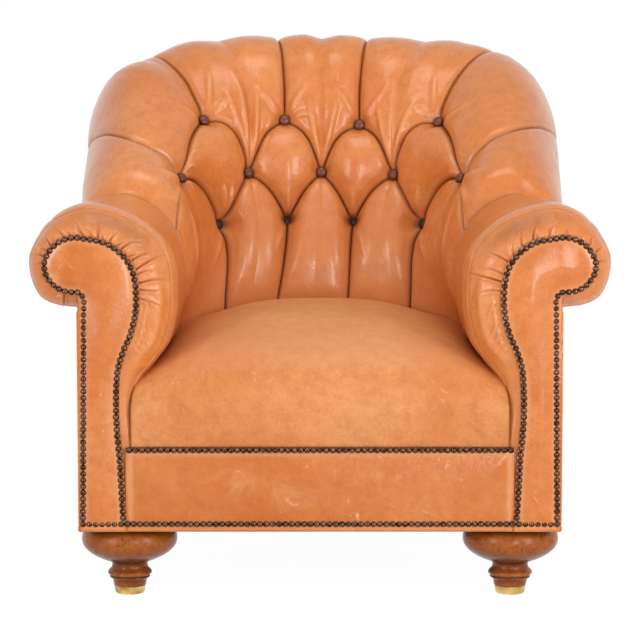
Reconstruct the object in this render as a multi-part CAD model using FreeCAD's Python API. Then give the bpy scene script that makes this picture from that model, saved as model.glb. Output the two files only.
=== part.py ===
import FreeCAD, Part
import math
import os

os.makedirs("parts", exist_ok=True)

vector = FreeCAD.Vector
origin = vector(0, 0, 0)
across = vector(1, 0, 0)
rearward = vector(0, 1, 0)
upward = vector(0, 0, 1)

# Whole chair: the floor is at zero, the chair faces -Y, and the middle of its depth is at Y zero
half_depth = 460.0
body_half_width = 403.0
arm_height = 667.0
back_height = 950.0
foot_height = 120.0
wing_setback = 352.0

# Leather, fits and small gaps between the layers
leather = 2.5
layer_gap = 0.3
overrun = 5.0

# Seat frame of hardwood rails
rail_thickness = 25.0
rail_top = 250.0
dust_cover_thickness = 1.0
webbing_thickness = 2.0
webbing_width = 50.0
hessian_thickness = 1.0
back_layer = hessian_thickness + layer_gap
frame_bottom = foot_height + dust_cover_thickness + 2 * webbing_thickness
base_setback = 215.0
base_rear = half_depth - base_setback
base_corner_radius = 230.0
corner_block_height = 40.0
corner_block_length = 100.0
corner_block_angles = (-5.0, 45.0, 95.0)

# Front of the chair: leather-faced boards edged with domed nails
nail_radius = 5.2
nail_dome = 4.5
nail_pitch = 10.6
facing_thickness = 8.0
facing_margin = 6.0
border_step = 1.5
base_nail_height = 133.6
seat_nail_height = 258.0
nail_sides = 6
facing_front = nail_dome - half_depth
facing_rear = facing_front + facing_thickness
post_front = facing_rear + layer_gap
post_thickness = 25.0
post_rear = post_front + post_thickness
post_inset = 10.0
wing_front = wing_setback - half_depth

# Arm scroll, from the tuck beside the seat, over the roll, to its underside.
# Points are shares of body_half_width and arm_height, and each third point ends an arc.
scroll_front_shares = [
    (0.772, 0.375), (0.780, 0.470), (0.756, 0.549), (0.679, 0.604), (0.620, 0.661), (0.591, 0.768),
    (0.620, 0.885), (0.764, 0.967), (0.968, 1.000), (1.139, 0.964), (1.196, 0.870), (1.139, 0.778),
    (0.995, 0.742),
]
scroll_rear_shares = [
    (0.722, 0.375), (0.730, 0.470), (0.713, 0.549), (0.662, 0.602), (0.622, 0.661), (0.596, 0.768),
    (0.622, 0.882), (0.732, 0.967), (0.881, 1.000), (1.010, 0.972), (1.067, 0.897), (1.052, 0.822),
    (0.995, 0.780),
]
scroll_nail_shares = [
    (0.828, 0.375), (0.840, 0.500), (0.834, 0.582), (0.816, 0.624), (0.789, 0.661), (0.754, 0.765),
    (0.767, 0.832), (0.844, 0.892), (0.955, 0.913), (1.092, 0.895), (1.131, 0.849), (1.109, 0.811),
    (1.000, 0.783),
]
facing_neck_shares = [(0.975, 0.774), (0.967, 0.752)]
facing_foot_shares = [(0.980, 0.180), (0.814, 0.180)]

# The front of the arm swells from the nail line to its full size over this depth, as a quarter
# round. The gathered front leather meets the inside arm at a seam part of the way round it.
# Shares from 0 to 1 go round that swell, and from 1 to 2 along the arm to the wing.
arm_front_roll = 70.0
front_wrap_shares = [0.0, 0.22, 0.44, 0.66]
arm_cover_shares = [0.66, 1.0, 1.33, 1.66, 2.0]
arm_pad_shares = [0.12, 0.4, 0.7, 1.0, 1.33, 1.66, 2.0]
arm_pad_depth = 38.0
arm_core_gap = 3.0

# Arm frame
arm_rail_inner_share = 0.814
arm_rail_outer_share = 0.918
arm_rail_rise_share = 0.810
arm_rail_inner = arm_rail_inner_share * body_half_width
arm_rail_outer = arm_rail_outer_share * body_half_width
arm_rail_bottom = arm_rail_rise_share * arm_height
arm_rail_thickness = 36.0
tuck_rail_setback = 57.0
tuck_rail_inner = body_half_width - tuck_rail_setback
tuck_rail_bottom = 300.0
tuck_rail_height = 40.0
wing_post_depth = 40.0

# Inside back: six lines run round it from arm to arm, from the seat crease up the face,
# over the roll and down to the tuck behind. Each row holds the half width as a share of
# body_half_width, the reach at the middle as a share of half_depth, the height at the middle as
# a share of back_height, the height at the arm as a share of arm_height, how square the line
# is, and how much its shoulder is filled out.
back_line_shares = [
    (0.707, 0.265, 0.476, 0.607, 2.6, 0.00),
    (0.596, 0.370, 0.642, 0.768, 2.6, 0.00),
    (0.655, 0.513, 0.876, 0.921, 2.8, 0.02),
    (0.873, 0.663, 0.975, 1.000, 3.8, 0.06),
    (1.030, 0.947, 0.912, 0.897, 4.2, 0.06),
    (0.990, 0.878, 0.832, 0.780, 4.0, 0.04),
]
last_line = len(back_line_shares) - 1

# Outside shell: it is tucked just under the rolls, and the outside back leans back as it rises
tuck_drop = 4.0
tuck_rear_reach = back_line_shares[-1][1] * half_depth
tuck_rear_rise = back_line_shares[-1][2] * back_height
tuck_wing_rise = back_line_shares[-1][3] * arm_height - tuck_drop
tuck_front_rise = scroll_front_shares[-1][1] * arm_height - tuck_drop
back_lean = (tuck_rear_reach - base_rear) / (tuck_rear_rise - foot_height)
probe_share = 0.001
diagonal_share = math.sqrt(0.5)

# Places on the inside back: a share round it from the middle, and how far up its lines
button_row_shares = [
    [(-0.533, 2.075), (-0.178, 1.753), (0.178, 1.753), (0.533, 2.075)],
    [(-0.771, 1.940), (-0.354, 1.400), (0.000, 1.356), (0.354, 1.400), (0.771, 1.940)],
    [(-0.514, 1.066), (-0.163, 0.948), (0.163, 0.948), (0.514, 1.066)],
]
rim_pleat_shares = [-0.80, -0.49, -0.147, 0.147, 0.49, 0.80]
seat_pleat_shares = [-0.385, -0.147, 0.147, 0.385]
wing_edge_share = 0.998
wing_pleat_share = 1.90
outer_channel_share = 0.70
rim_line = 3
crown_line = 4

# Swell of the leather above the level of the buttons
button_sink = 4.0
diamond_swell = 38.0
pleat_swell = 14.0
channel_swell = 30.0
crease_swell = 6.0
top_swell = 36.0
roll_swell = 22.0
roll_pleat_swell = 12.0
wing_swell = 24.0
channel_cell_share = 0.7
top_cell_share = 0.8
rim_bulge_share = 0.8
roll_cell_share = 0.6
roll_edge_share = 0.4
back_stuffing = 12.0
back_pad_depth = 70.0
roll_pad_depth = 30.0

# Straps and cloth behind the back's pad
back_strap_shares = [-0.6, -0.4, -0.2, 0.0, 0.2, 0.4, 0.6]
back_strap_half_share = 0.06
back_strap_line_shares = [0.0, 0.5, 1.0, 1.6, 2.2]
hessian_clearance = 5.0

# Buttons and their twines
button_radius = 10.0
button_shank = 2.0
button_rise = 3.0
button_back = 5.0
button_crown = 4.0
button_shoulder_shares = (0.62, 0.72)
twine_radius = 0.8

# Frame of the back
wing_rail_start_share = 0.840
wing_rail_reach_share = 0.757
wing_rail_rise_share = 0.878
wing_rail_start = wing_rail_start_share * arm_height
wing_rail_reach = wing_rail_reach_share * half_depth
wing_rail_rise = wing_rail_rise_share * back_height
wing_rail_slope = (wing_rail_rise - wing_rail_start) / (wing_rail_reach - wing_front)
wing_rail_thickness = 30.0
wing_rail_corner = 230.0
back_tuck_rail_height = 30.0
back_tuck_corner = 200.0
back_post_offset_share = 0.447
back_post_width = 40.0
back_post_depth = 42.0

# Seat
spring_radius = 45.0
spring_waist = 28.0
spring_wall = 3.0
spring_top = 330.0
springs_across = 3
springs_deep = 3
spring_side_setback = 228.0
spring_front_setback = 92.0
spring_rear_setback = 275.0
edge_wire_radius = 2.0
edge_roll_setback = 6.0
edge_roll_depth = 40.0
edge_roll_round = 18.0
seat_half_share = 0.772
seat_half_width = seat_half_share * body_half_width

# Seat leather: lines run across it from the rear crease over the crown to the nail line. Each
# row holds the reach and height at the middle, then the half width, reach and height at the side,
# as shares of half_depth, back_height, body_half_width, half_depth and back_height.
seat_line_shares = [
    (0.263, 0.475, 0.636, 0.010, 0.447),
    (-0.050, 0.497, 0.652, -0.280, 0.428),
    (-0.480, 0.494, 0.688, -0.630, 0.413),
    (-0.820, 0.457, 0.743, -0.880, 0.392),
    (-0.968, 0.384, 0.764, -0.966, 0.354),
    (-0.976, 0.276, 0.764, -0.976, 0.276),
]
seat_turn_shares = [-1.0, -0.75, -0.4, 0.0, 0.4, 0.75, 1.0]
seat_fall_off = 2.8
seat_pad_line_share = 3.8

# Feet: a turned bun over a collar and rings at the front, raked tapered legs behind
front_foot_side_setback = 79.0
front_foot_setback = 90.0
front_foot_offset = body_half_width - front_foot_side_setback
front_foot_reach = front_foot_setback - half_depth
bun_radius = 79.4
bun_height = 103.0
collar_radius = 62.0
collar_height = 4.0
bun_bottom_radius = 31.8
bun_bottom = 64.7
neck_radius = 29.4
neck_height = 59.6
ring_radius = 36.2
ring_height = 42.0
ring_groove_height = 37.0
ring_groove_radius = 33.5
ankle_radius = 28.9
ankle_height = 27.7
bun_belly_shares = (0.28, 0.42)
cove_share = 0.2
ferrule_top_radius = 26.7
ferrule_bottom_radius = 24.5
ferrule_height = 14.0
ferrule_wall = 1.5
ferrule_round = 4.0
rear_leg_side_setback = 118.0
rear_leg_setback = 83.0
rear_leg_offset = body_half_width - rear_leg_side_setback
rear_leg_reach = base_rear - rear_leg_setback
rear_leg_top = 48.0
rear_leg_bottom = 32.0
rear_leg_splay = 50.0
glide_radius = 11.0
glide_thickness = 3.0
bolt_radius = 4.0
bolt_rise = 38.0
front_bolt_drop = 50.0
rear_bolt_drop = 25.0
foot_plate_side = 60.0
foot_plate_thickness = 1.7


def save(name, *solids):
    shape = solids[0] if len(solids) == 1 else Part.makeCompound(list(solids))
    shape.exportStep(f"parts/{name}.step")


def block(x_low, x_high, y_low, y_high, z_low, z_high):
    return Part.makeBox(x_high - x_low, y_high - y_low, z_high - z_low, vector(x_low, y_low, z_low))


def other_side(shape):
    return shape.mirror(origin, across)


def save_pair(name, right_solid):
    save(f"{name}_right", right_solid)
    save(f"{name}_left", other_side(right_solid))


def arc_or_line(start, middle, end):
    """An arc through three points, or a line where they lie straight."""
    bend = (middle - start).cross(end - middle).Length
    if bend < probe_share * (end - start).Length ** 2:
        return Part.LineSegment(start, end).toShape()
    return Part.Arc(start, middle, end).toShape()


def arc_run(points):
    """Arcs through every second point of a list."""
    return [arc_or_line(*points[i:i + 3]) for i in range(0, len(points) - 2, 2)]


def closed_outline(points_out, points_back):
    """A closed wire: arcs out along one list, a line across, and arcs back along the other."""
    edges = arc_run(points_out)
    edges.append(Part.LineSegment(points_out[-1], points_back[0]).toShape())
    edges += arc_run(points_back)
    edges.append(Part.LineSegment(points_back[-1], points_out[0]).toShape())
    return Part.Wire(edges)


def solid_of(faces):
    """A closed solid of faces, facing outwards."""
    shell = Part.makeShell(faces)
    shell.sewShape()
    return facing_out(Part.makeSolid(shell))


def facing_out(solid):
    if solid.Volume < 0:
        solid.reverse()
    return solid


def polygon_face(points):
    return Part.Face(Part.makePolygon(list(points) + [points[0]]))


def plan_wire(z, inset, front, lean):
    """The outline of the body seen from above: straight sides, round rear corners."""
    half = body_half_width - inset
    rear = base_rear + lean * (z - foot_height) - inset
    radius = base_corner_radius - inset
    corner_x = half - radius
    corner_y = rear - radius
    slant = radius * diagonal_share
    points = {
        "side": vector(half, corner_y, z),
        "bend": vector(corner_x + slant, corner_y + slant, z),
        "rear": vector(corner_x, rear, z),
    }
    left = {name: vector(-p.x, p.y, p.z) for name, p in points.items()}
    front_right = vector(half, front, z)
    front_left = vector(-half, front, z)
    return Part.Wire([
        Part.LineSegment(front_right, points["side"]).toShape(),
        Part.Arc(points["side"], points["bend"], points["rear"]).toShape(),
        Part.LineSegment(points["rear"], left["rear"]).toShape(),
        Part.Arc(left["rear"], left["bend"], left["side"]).toShape(),
        Part.LineSegment(left["side"], front_left).toShape(),
        Part.LineSegment(front_left, front_right).toShape(),
    ])


def plan_slab(z_low, z_high, inset, front):
    """An upright slab with the body's outline."""
    return Part.Face(plan_wire(z_low, inset, front, 0)).extrude(vector(0, 0, z_high - z_low))


def scroll_points(shares):
    return [(x * body_half_width, z * arm_height) for x, z in shares]


nail_line = scroll_points(scroll_nail_shares)
front_line = scroll_points(scroll_front_shares)
rear_line = scroll_points(scroll_rear_shares)


def outward(index):
    """Unit direction from the nail line to the swollen edge of the scroll."""
    (x0, z0), (x1, z1) = nail_line[index], front_line[index]
    run = math.hypot(x1 - x0, z1 - z0)
    return (x1 - x0) / run, (z1 - z0) / run


def scroll_path(y, swell, setback, inset):
    """Points round the arm at one depth: swell goes from the nail line to the full roll, and
    setback from the front of the arm to the wing."""
    points = []
    for index, (nail, front, rear) in enumerate(zip(nail_line, front_line, rear_line)):
        ux, uz = outward(index)
        full_x = front[0] + setback * (rear[0] - front[0])
        full_z = front[1] + setback * (rear[1] - front[1])
        x = nail[0] + swell * (full_x - nail[0]) - inset * ux
        z = nail[1] + swell * (full_z - nail[1]) - inset * uz
        points.append(vector(x, y, z))
    return points


def smooth_point(points, at):
    """A point on a smooth curve through some points, at a place counted along them."""
    last = len(points) - 1
    k = min(int(at), last - 1)
    f = at - k
    p1 = points[k]
    p2 = points[k + 1]
    p0 = points[k - 1] if k > 0 else p1 * 2 - p2
    p3 = points[k + 2] if k + 2 <= last else p2 * 2 - p1
    cubic = (p1 - p2) * 3 + p3 - p0
    square = p0 * 2 - p1 * 5 + p2 * 4 - p3
    return (p1 * 2 + (p2 - p0) * f + square * f ** 2 + cubic * f ** 3) / 2


def arm_station(share):
    """Swell, setback and depth at a share along the arm."""
    front = facing_rear + layer_gap
    full = front + arm_front_roll
    if share <= 1:
        angle = share * math.pi / 2
        return math.sin(angle), 0, front + (1 - math.cos(angle)) * arm_front_roll
    return 1, share - 1, full + (wing_front - layer_gap - full) * (share - 1)


def arm_layer(inset):
    """The arm's surface, set in by some depth."""
    def layer(at, share):
        swell, setback, y = arm_station(share)
        return smooth_point(scroll_path(y, swell, setback, inset), at)

    return layer


def arm_core(at, share):
    """The inner side of the arm's stuffing, along the front post and the rails."""
    _, setback, y = arm_station(share)
    at_front = smooth_point(scroll_path(y, 0, 0, post_inset - arm_core_gap), at)
    at_rear = smooth_point(scroll_path(y, 1, 1, arm_pad_depth), at)
    return at_front + (at_rear - at_front) * setback


scroll_places = list(range(len(scroll_nail_shares)))


def arm_front_wrap():
    """Gathered leather round the front of the arm, from the nails back to the seam."""
    return slab(scroll_places, front_wrap_shares, arm_layer(0), arm_layer(leather))


def arm_cover():
    """Leather of the inside arm: up from the seat, over the roll and round to its underside."""
    return slab(scroll_places, arm_cover_shares, arm_layer(0), arm_layer(leather))


def arm_pad():
    """Stuffing between the leather and the arm's frame."""
    return slab(scroll_places, arm_pad_shares, arm_layer(leather + layer_gap), arm_core)


def facing_wire(y, margin, bottom):
    """Outline of the front of an arm, beyond the nail line by a margin."""
    curve = scroll_path(y, 0, 0, -margin)
    neck = [vector(x + margin, y, z - margin) for x, z in scroll_points(facing_neck_shares)]
    (outer_x, _), (inner_x, _) = scroll_points(facing_foot_shares)
    outer_foot = vector(outer_x + margin, y, bottom)
    inner_foot = vector(inner_x - margin, y, bottom)
    edges = arc_run(curve)
    edges.append(arc_or_line(curve[-1], neck[0], neck[1]))
    for start, end in ((neck[1], outer_foot), (outer_foot, inner_foot), (inner_foot, curve[0])):
        edges.append(Part.LineSegment(start, end).toShape())
    return Part.Wire(edges)


def facing_board(y_front, y_rear, margin, bottom):
    return Part.Face(facing_wire(y_front, margin, bottom)).extrude(vector(0, y_rear - y_front, 0))


def side_arc(angle, square):
    """A point of a squared-off circle: sideways and forward shares at an angle from the middle."""
    side = math.sin(angle)
    ahead = math.cos(angle)
    radius = (abs(side) ** square + abs(ahead) ** square) ** (-1 / square)
    return radius * side, radius * ahead


def back_line_point(line, turn):
    """A point of one of the back's lines, at a share round from the middle."""
    half, reach, rise, arm_rise, square, shoulder = back_line_shares[line]
    angle = turn * math.pi / 2
    side, ahead = side_arc(angle, square)
    fill = 1 + shoulder * math.sin(2 * angle) ** 4
    side = side * fill
    fall = 1 - ahead * fill
    middle_y = reach * half_depth
    middle_z = rise * back_height
    return vector(
        half * body_half_width * side,
        middle_y - (middle_y - wing_front) * fall,
        middle_z - (middle_z - arm_rise * arm_height) * fall,
    )


def back_spot(turn, line):
    return smooth_point([back_line_point(k, turn) for k in range(last_line + 1)], line)


def back_normal(turn, line):
    low = max(0, line - probe_share)
    high = min(last_line, line + probe_share)
    round_it = back_spot(turn + probe_share, line) - back_spot(turn - probe_share, line)
    up_it = back_spot(turn, high) - back_spot(turn, low)
    return round_it.cross(up_it).normalize()


def back_place(turn, line, height):
    """A point above the level of the buttons by a height, or below where it is negative."""
    return back_spot(turn, line) + back_normal(turn, line) * height


def patch(grid):
    """A face through a grid of three points by three, or three by two."""
    def through(points):
        if len(points) == 2:
            return points
        return [points[0], points[1] * 2 - (points[0] + points[2]) / 2, points[2]]

    rows = [through(row) for row in grid]
    columns = [through(list(column)) for column in zip(*rows)]
    surface = Part.BezierSurface()
    surface.increase(len(columns[0]) - 1, len(columns) - 1)
    for v, column in enumerate(columns, 1):
        for u, pole in enumerate(column, 1):
            surface.setPole(u, v, pole)
    return surface.toShape()


class Tufting:
    """The layout of the tufted back: named places, the swell along each edge, and the cells."""

    def __init__(self):
        self.cells = []
        self.swells = {}
        self.places = {}

    def put(self, name, turn, line, height):
        self.places[name] = (turn, line, height)

    def edge(self, first, second, height):
        self.swells[frozenset((first, second))] = height

    def cell(self, corners, height):
        """Four corners in order round a cell, counter-clockwise seen by the sitter."""
        self.cells.append((corners, height))


def middle_of(places):
    return [sum(values) / len(places) for values in zip(*places)]


def back_layout():
    """Buttons, pleats and cells, from the left arm round to the right."""
    quilt = Tufting()
    for row, buttons in enumerate(button_row_shares):
        for index, (turn, line) in enumerate(buttons):
            quilt.put(("button", row, index), turn, line, -button_sink)
    rim = [-wing_edge_share, *rim_pleat_shares, wing_edge_share]
    for line in range(rim_line, last_line + 1):
        open_end = 1 if line < last_line else 0
        for index, turn in enumerate(rim):
            quilt.put(("pleat", line, index), turn, line, open_end * roll_pleat_swell)
        for index in range(2, 5):
            middle = (rim[index] + rim[index + 1]) / 2
            quilt.put(("crown", line, index), middle, line, open_end * roll_swell)
    for index, turn in enumerate(seat_pleat_shares):
        quilt.put(("seat", index), turn, 0, 0)
    for index in range(3):
        middle = (seat_pleat_shares[index] + seat_pleat_shares[index + 1]) / 2
        quilt.put(("channel", index), middle, 0, crease_swell)
    for side, turn in (("left", -wing_edge_share), ("right", wing_edge_share)):
        share = math.copysign(outer_channel_share, turn)
        quilt.put(("corner", side), turn, 0, 0)
        quilt.put(("tuck", side), share, 0, crease_swell)
        quilt.put(("wing", side), turn, wing_pleat_share, 0)
    lower_cells(quilt)
    upper_cells(quilt)
    roll_cells(quilt)
    return quilt


def lower_cells(quilt):
    """Diamonds, and the channels below them down to the seat."""
    beside = channel_swell * channel_cell_share
    for index in range(4):
        low = ("button", 2, index)
        right = ("button", 1, index + 1)
        high = ("button", 0, index)
        left = ("button", 1, index)
        quilt.cell((low, right, high, left), diamond_swell)
        quilt.edge(low, ("seat", index), roll_pleat_swell)
    for index in range(3):
        top = ("button", 1, index + 1)
        foot = ("channel", index)
        quilt.edge(top, foot, channel_swell)
        quilt.cell((("seat", index), foot, top, ("button", 2, index)), beside)
        quilt.cell((foot, ("seat", index + 1), ("button", 2, index + 1), top), beside)
    quilt.edge(("button", 1, 0), ("tuck", "left"), channel_swell)
    quilt.edge(("button", 1, 4), ("tuck", "right"), channel_swell)
    quilt.cell((("tuck", "left"), ("seat", 0), ("button", 2, 0), ("button", 1, 0)), beside)
    quilt.cell((("seat", 3), ("tuck", "right"), ("button", 1, 4), ("button", 2, 3)), beside)
    outer = wing_swell * channel_cell_share
    quilt.cell((("corner", "left"), ("tuck", "left"), ("button", 1, 0), ("wing", "left")), outer)
    quilt.cell((("tuck", "right"), ("corner", "right"), ("wing", "right"), ("button", 1, 4)), outer)


def upper_cells(quilt):
    """From the two upper rows of buttons out to the rim."""
    rim = rim_line
    quilt.cell((("wing", "left"), ("button", 1, 0), ("pleat", rim, 1), ("pleat", rim, 0)), wing_swell)
    quilt.cell((("button", 1, 0), ("button", 0, 0), ("pleat", rim, 2), ("pleat", rim, 1)), wing_swell)
    for index in range(3):
        bottom = ("button", 1, index + 1)
        left = ("button", 0, index)
        right = ("button", 0, index + 1)
        crown = ("crown", rim, index + 2)
        quilt.edge(bottom, crown, top_swell)
        quilt.cell((left, bottom, crown, ("pleat", rim, index + 2)), top_swell * top_cell_share)
        quilt.cell((bottom, right, ("pleat", rim, index + 3), crown), top_swell * top_cell_share)
    quilt.cell((("button", 0, 3), ("button", 1, 4), ("pleat", rim, 6), ("pleat", rim, 5)), wing_swell)
    quilt.cell((("button", 1, 4), ("wing", "right"), ("pleat", rim, 7), ("pleat", rim, 6)), wing_swell)


def roll_cells(quilt):
    """Over the roll, from the rim to the tuck behind."""
    ends = [("pleat", 0), ("pleat", 1), ("pleat", 2), ("crown", 2), ("pleat", 3), ("crown", 3),
            ("pleat", 4), ("crown", 4), ("pleat", 5), ("pleat", 6), ("pleat", 7)]
    for line in range(rim_line, last_line):
        fade = (last_line - line) / (last_line - rim_line + 1)
        for (kind_a, a), (kind_b, b) in zip(ends, ends[1:]):
            low = ((kind_a, line, a), (kind_b, line, b))
            high = ((kind_b, line + 1, b), (kind_a, line + 1, a))
            quilt.cell(low + high, roll_swell * roll_cell_share * (1 + fade))
        for kind, index in ends:
            height = roll_swell if kind == "crown" else roll_pleat_swell
            quilt.edge((kind, line, index), (kind, line + 1, index), height * (roll_edge_share + fade))


def pad_level(line):
    """Depth of the pad: thick on the face, thin round the roll."""
    share = min(1, max(0, line - 1))
    return back_pad_depth + (roll_pad_depth - back_pad_depth) * share


crease_kinds = ("seat", "channel", "corner", "tuck")
roll_kinds = ("pleat", "crown")


def quilt_shell(quilt, level, swell):
    """The faces of one layer: a level below the buttons at each line, and a share of the swell."""
    def point(turn, line, height):
        return back_place(turn, line, height * swell - level(line))

    def corner(name):
        return point(*quilt.places[name])

    def edge_middle(first, second):
        turn, line, height = middle_of([quilt.places[first], quilt.places[second]])
        on_edge = quilt.swells.get(frozenset((first, second)), pleat_swell)
        if first[0] in crease_kinds and second[0] in crease_kinds:
            on_edge = height
        if first[0] in roll_kinds and second[0] in roll_kinds and first[1] == second[1]:
            on_edge = 0 if first[1] == last_line else roll_swell * rim_bulge_share
        return point(turn, line, on_edge)

    faces = []
    outlines = {}
    for corners, height in quilt.cells:
        low, right, high, left = corners
        turn, line, _ = middle_of([quilt.places[name] for name in corners])
        grid = [
            [corner(low), edge_middle(low, right), corner(right)],
            [edge_middle(low, left), point(turn, line, height), edge_middle(right, high)],
            [corner(left), edge_middle(left, high), corner(high)],
        ]
        faces.append(patch(grid))
        for first, second in zip(corners, corners[1:] + corners[:1]):
            key = frozenset((first, second))
            points = [corner(first), edge_middle(first, second), corner(second)]
            outlines[key] = None if key in outlines else (first, second, points)
    rim = {key: value for key, value in outlines.items() if value}
    return faces, rim


def between_layers(quilt, outer, inner):
    """A solid between two layers, closed along the open edges."""
    faces, outer_rim = quilt_shell(quilt, *outer)
    inner_faces, inner_rim = quilt_shell(quilt, *inner)
    faces += inner_faces
    for key, (first, _, points) in outer_rim.items():
        other_first, _, other_points = inner_rim[key]
        if other_first != first:
            other_points = other_points[::-1]
        grid = [[a, b] for a, b in zip(points, other_points)]
        faces.append(patch(grid))
    return solid_of(faces)


def button():
    """A leather-covered button: a low dome over a tapered back and a shank that stands on Z."""
    rim_z = button_rise + button_back
    start = vector(0, 0, 0)
    shank = [vector(button_shank, 0, 0), vector(button_shank, 0, button_rise)]
    rim = vector(button_radius, 0, rim_z)
    top = vector(0, 0, rim_z + button_crown)
    out_share, up_share = button_shoulder_shares
    shoulder = vector(button_radius * out_share, 0, rim_z + button_crown * up_share)
    outline = Part.Wire([
        Part.Arc(top, shoulder, rim).toShape(),
        Part.LineSegment(rim, shank[1]).toShape(),
        Part.LineSegment(shank[1], shank[0]).toShape(),
        Part.LineSegment(shank[0], start).toShape(),
        Part.LineSegment(start, top).toShape(),
    ])
    return Part.Face(outline).revolve(origin, upward, 360)


def on_back(shape, turn, line, height):
    """Sets a shape that stands on Z at a place of the back, its axis along the normal there."""
    placed = shape.copy()
    turned = FreeCAD.Rotation(upward, back_normal(turn, line))
    placed.Placement = FreeCAD.Placement(back_place(turn, line, height), turned)
    return placed


def twine(turn, line):
    """A button's twine, from its shank back through the stuffing to the hessian."""
    start = button_sink + leather + layer_gap
    end = back_stuffing + pad_level(line) + hessian_clearance + hessian_thickness
    run = Part.makeCylinder(twine_radius, end - start)
    return on_back(run, turn, line, -end)


def twines():
    return [twine(turn, line) for turn, line in button_places()]


def domed_nail():
    """A low-faced domed nail head, its base on the leather and its crown to the front."""
    step = 2 * math.pi / nail_sides
    ring = [vector(nail_radius * math.cos(i * step), 0, nail_radius * math.sin(i * step))
            for i in range(nail_sides)]
    crown = vector(0, -nail_dome, 0)
    faces = [polygon_face(ring)]
    for i in range(nail_sides):
        faces.append(polygon_face([ring[i], ring[(i + 1) % nail_sides], crown]))
    return solid_of(faces)


def nail_row(wire, y):
    """Nails along a wire, head to head."""
    count = round(wire.Length / nail_pitch) + 1
    nail = domed_nail()
    return [nail.translated(vector(p.x, y, p.z)) for p in wire.discretize(count)]


def line_wire(x_low, x_high, z):
    return Part.Wire([Part.LineSegment(vector(x_low, 0, z), vector(x_high, 0, z)).toShape()])


def arm_nail_wire():
    """The nail line of the right arm, from its foot beside the rail round to its outer foot."""
    curve = scroll_path(0, 0, 0, 0)
    neck = [vector(x, 0, z) for x, z in scroll_points(facing_neck_shares)]
    (outer_x, _), (inner_x, _) = scroll_points(facing_foot_shares)
    foot_z = base_nail_height + nail_pitch
    edges = [Part.LineSegment(vector(inner_x, 0, foot_z), curve[0]).toShape()]
    edges += arc_run(curve)
    edges.append(arc_or_line(curve[-1], neck[0], neck[1]))
    edges.append(Part.LineSegment(neck[1], vector(outer_x, 0, foot_z)).toShape())
    return Part.Wire(edges)


def seat_line_point(line, turn):
    """A point of one of the seat's lines, at a share across from the middle."""
    middle_y, middle_z, half, side_y, side_z = seat_line_shares[line]
    fall = abs(turn) ** seat_fall_off
    y = half_depth * (middle_y + (side_y - middle_y) * fall)
    z = back_height * (middle_z + (side_z - middle_z) * fall)
    return vector(body_half_width * half * turn, y, z)


def seat_place(turn, line, depth):
    """A point of the seat's leather, or below it by a depth."""
    last = len(seat_line_shares) - 1

    def spot(share, at):
        return smooth_point([seat_line_point(k, share) for k in range(last + 1)], at)

    low = max(0, line - probe_share)
    high = min(last, line + probe_share)
    over = spot(turn + probe_share, line) - spot(turn - probe_share, line)
    along = spot(turn, high) - spot(turn, low)
    normal = along.cross(over).normalize()
    return spot(turn, line) - normal * depth


def slab(turns, lines, near, far):
    """A solid between two layers of patches over a grid of places; a layer gives a place's point."""
    def layer_faces(layer):
        faces = []
        for t0, t1 in zip(turns, turns[1:]):
            for n0, n1 in zip(lines, lines[1:]):
                ts = (t0, (t0 + t1) / 2, t1)
                ns = (n0, (n0 + n1) / 2, n1)
                faces.append(patch([[layer(t, n) for t in ts] for n in ns]))
        return faces

    def side(places):
        return patch([[near(t, n), far(t, n)] for t, n in places])

    faces = layer_faces(near) + layer_faces(far)
    for t0, t1 in zip(turns, turns[1:]):
        for line in (lines[0], lines[-1]):
            faces.append(side([(t0, line), ((t0 + t1) / 2, line), (t1, line)]))
    for n0, n1 in zip(lines, lines[1:]):
        for turn in (turns[0], turns[-1]):
            faces.append(side([(turn, n0), (turn, (n0 + n1) / 2), (turn, n1)]))
    return solid_of(faces)


def seat_cover():
    """Crowned leather of the seat, drawn over the front edge to the rail."""
    lines = list(range(len(seat_line_shares)))
    def layer(depth):
        return lambda turn, line: seat_place(turn, line, depth)

    return slab(seat_turn_shares, lines, layer(0), layer(leather))


def seat_pad():
    """Hair and foam over the springs, under the crowned leather."""
    floor_z = spring_top + 2 * edge_wire_radius + hessian_thickness + 2 * layer_gap

    def top(turn, line):
        return seat_place(turn, line, leather + layer_gap)

    def bottom(turn, line):
        point = top(turn, line)
        return vector(point.x, point.y, floor_z)

    return slab(seat_turn_shares, [0, 1, 2, 3, seat_pad_line_share], top, bottom)


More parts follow.
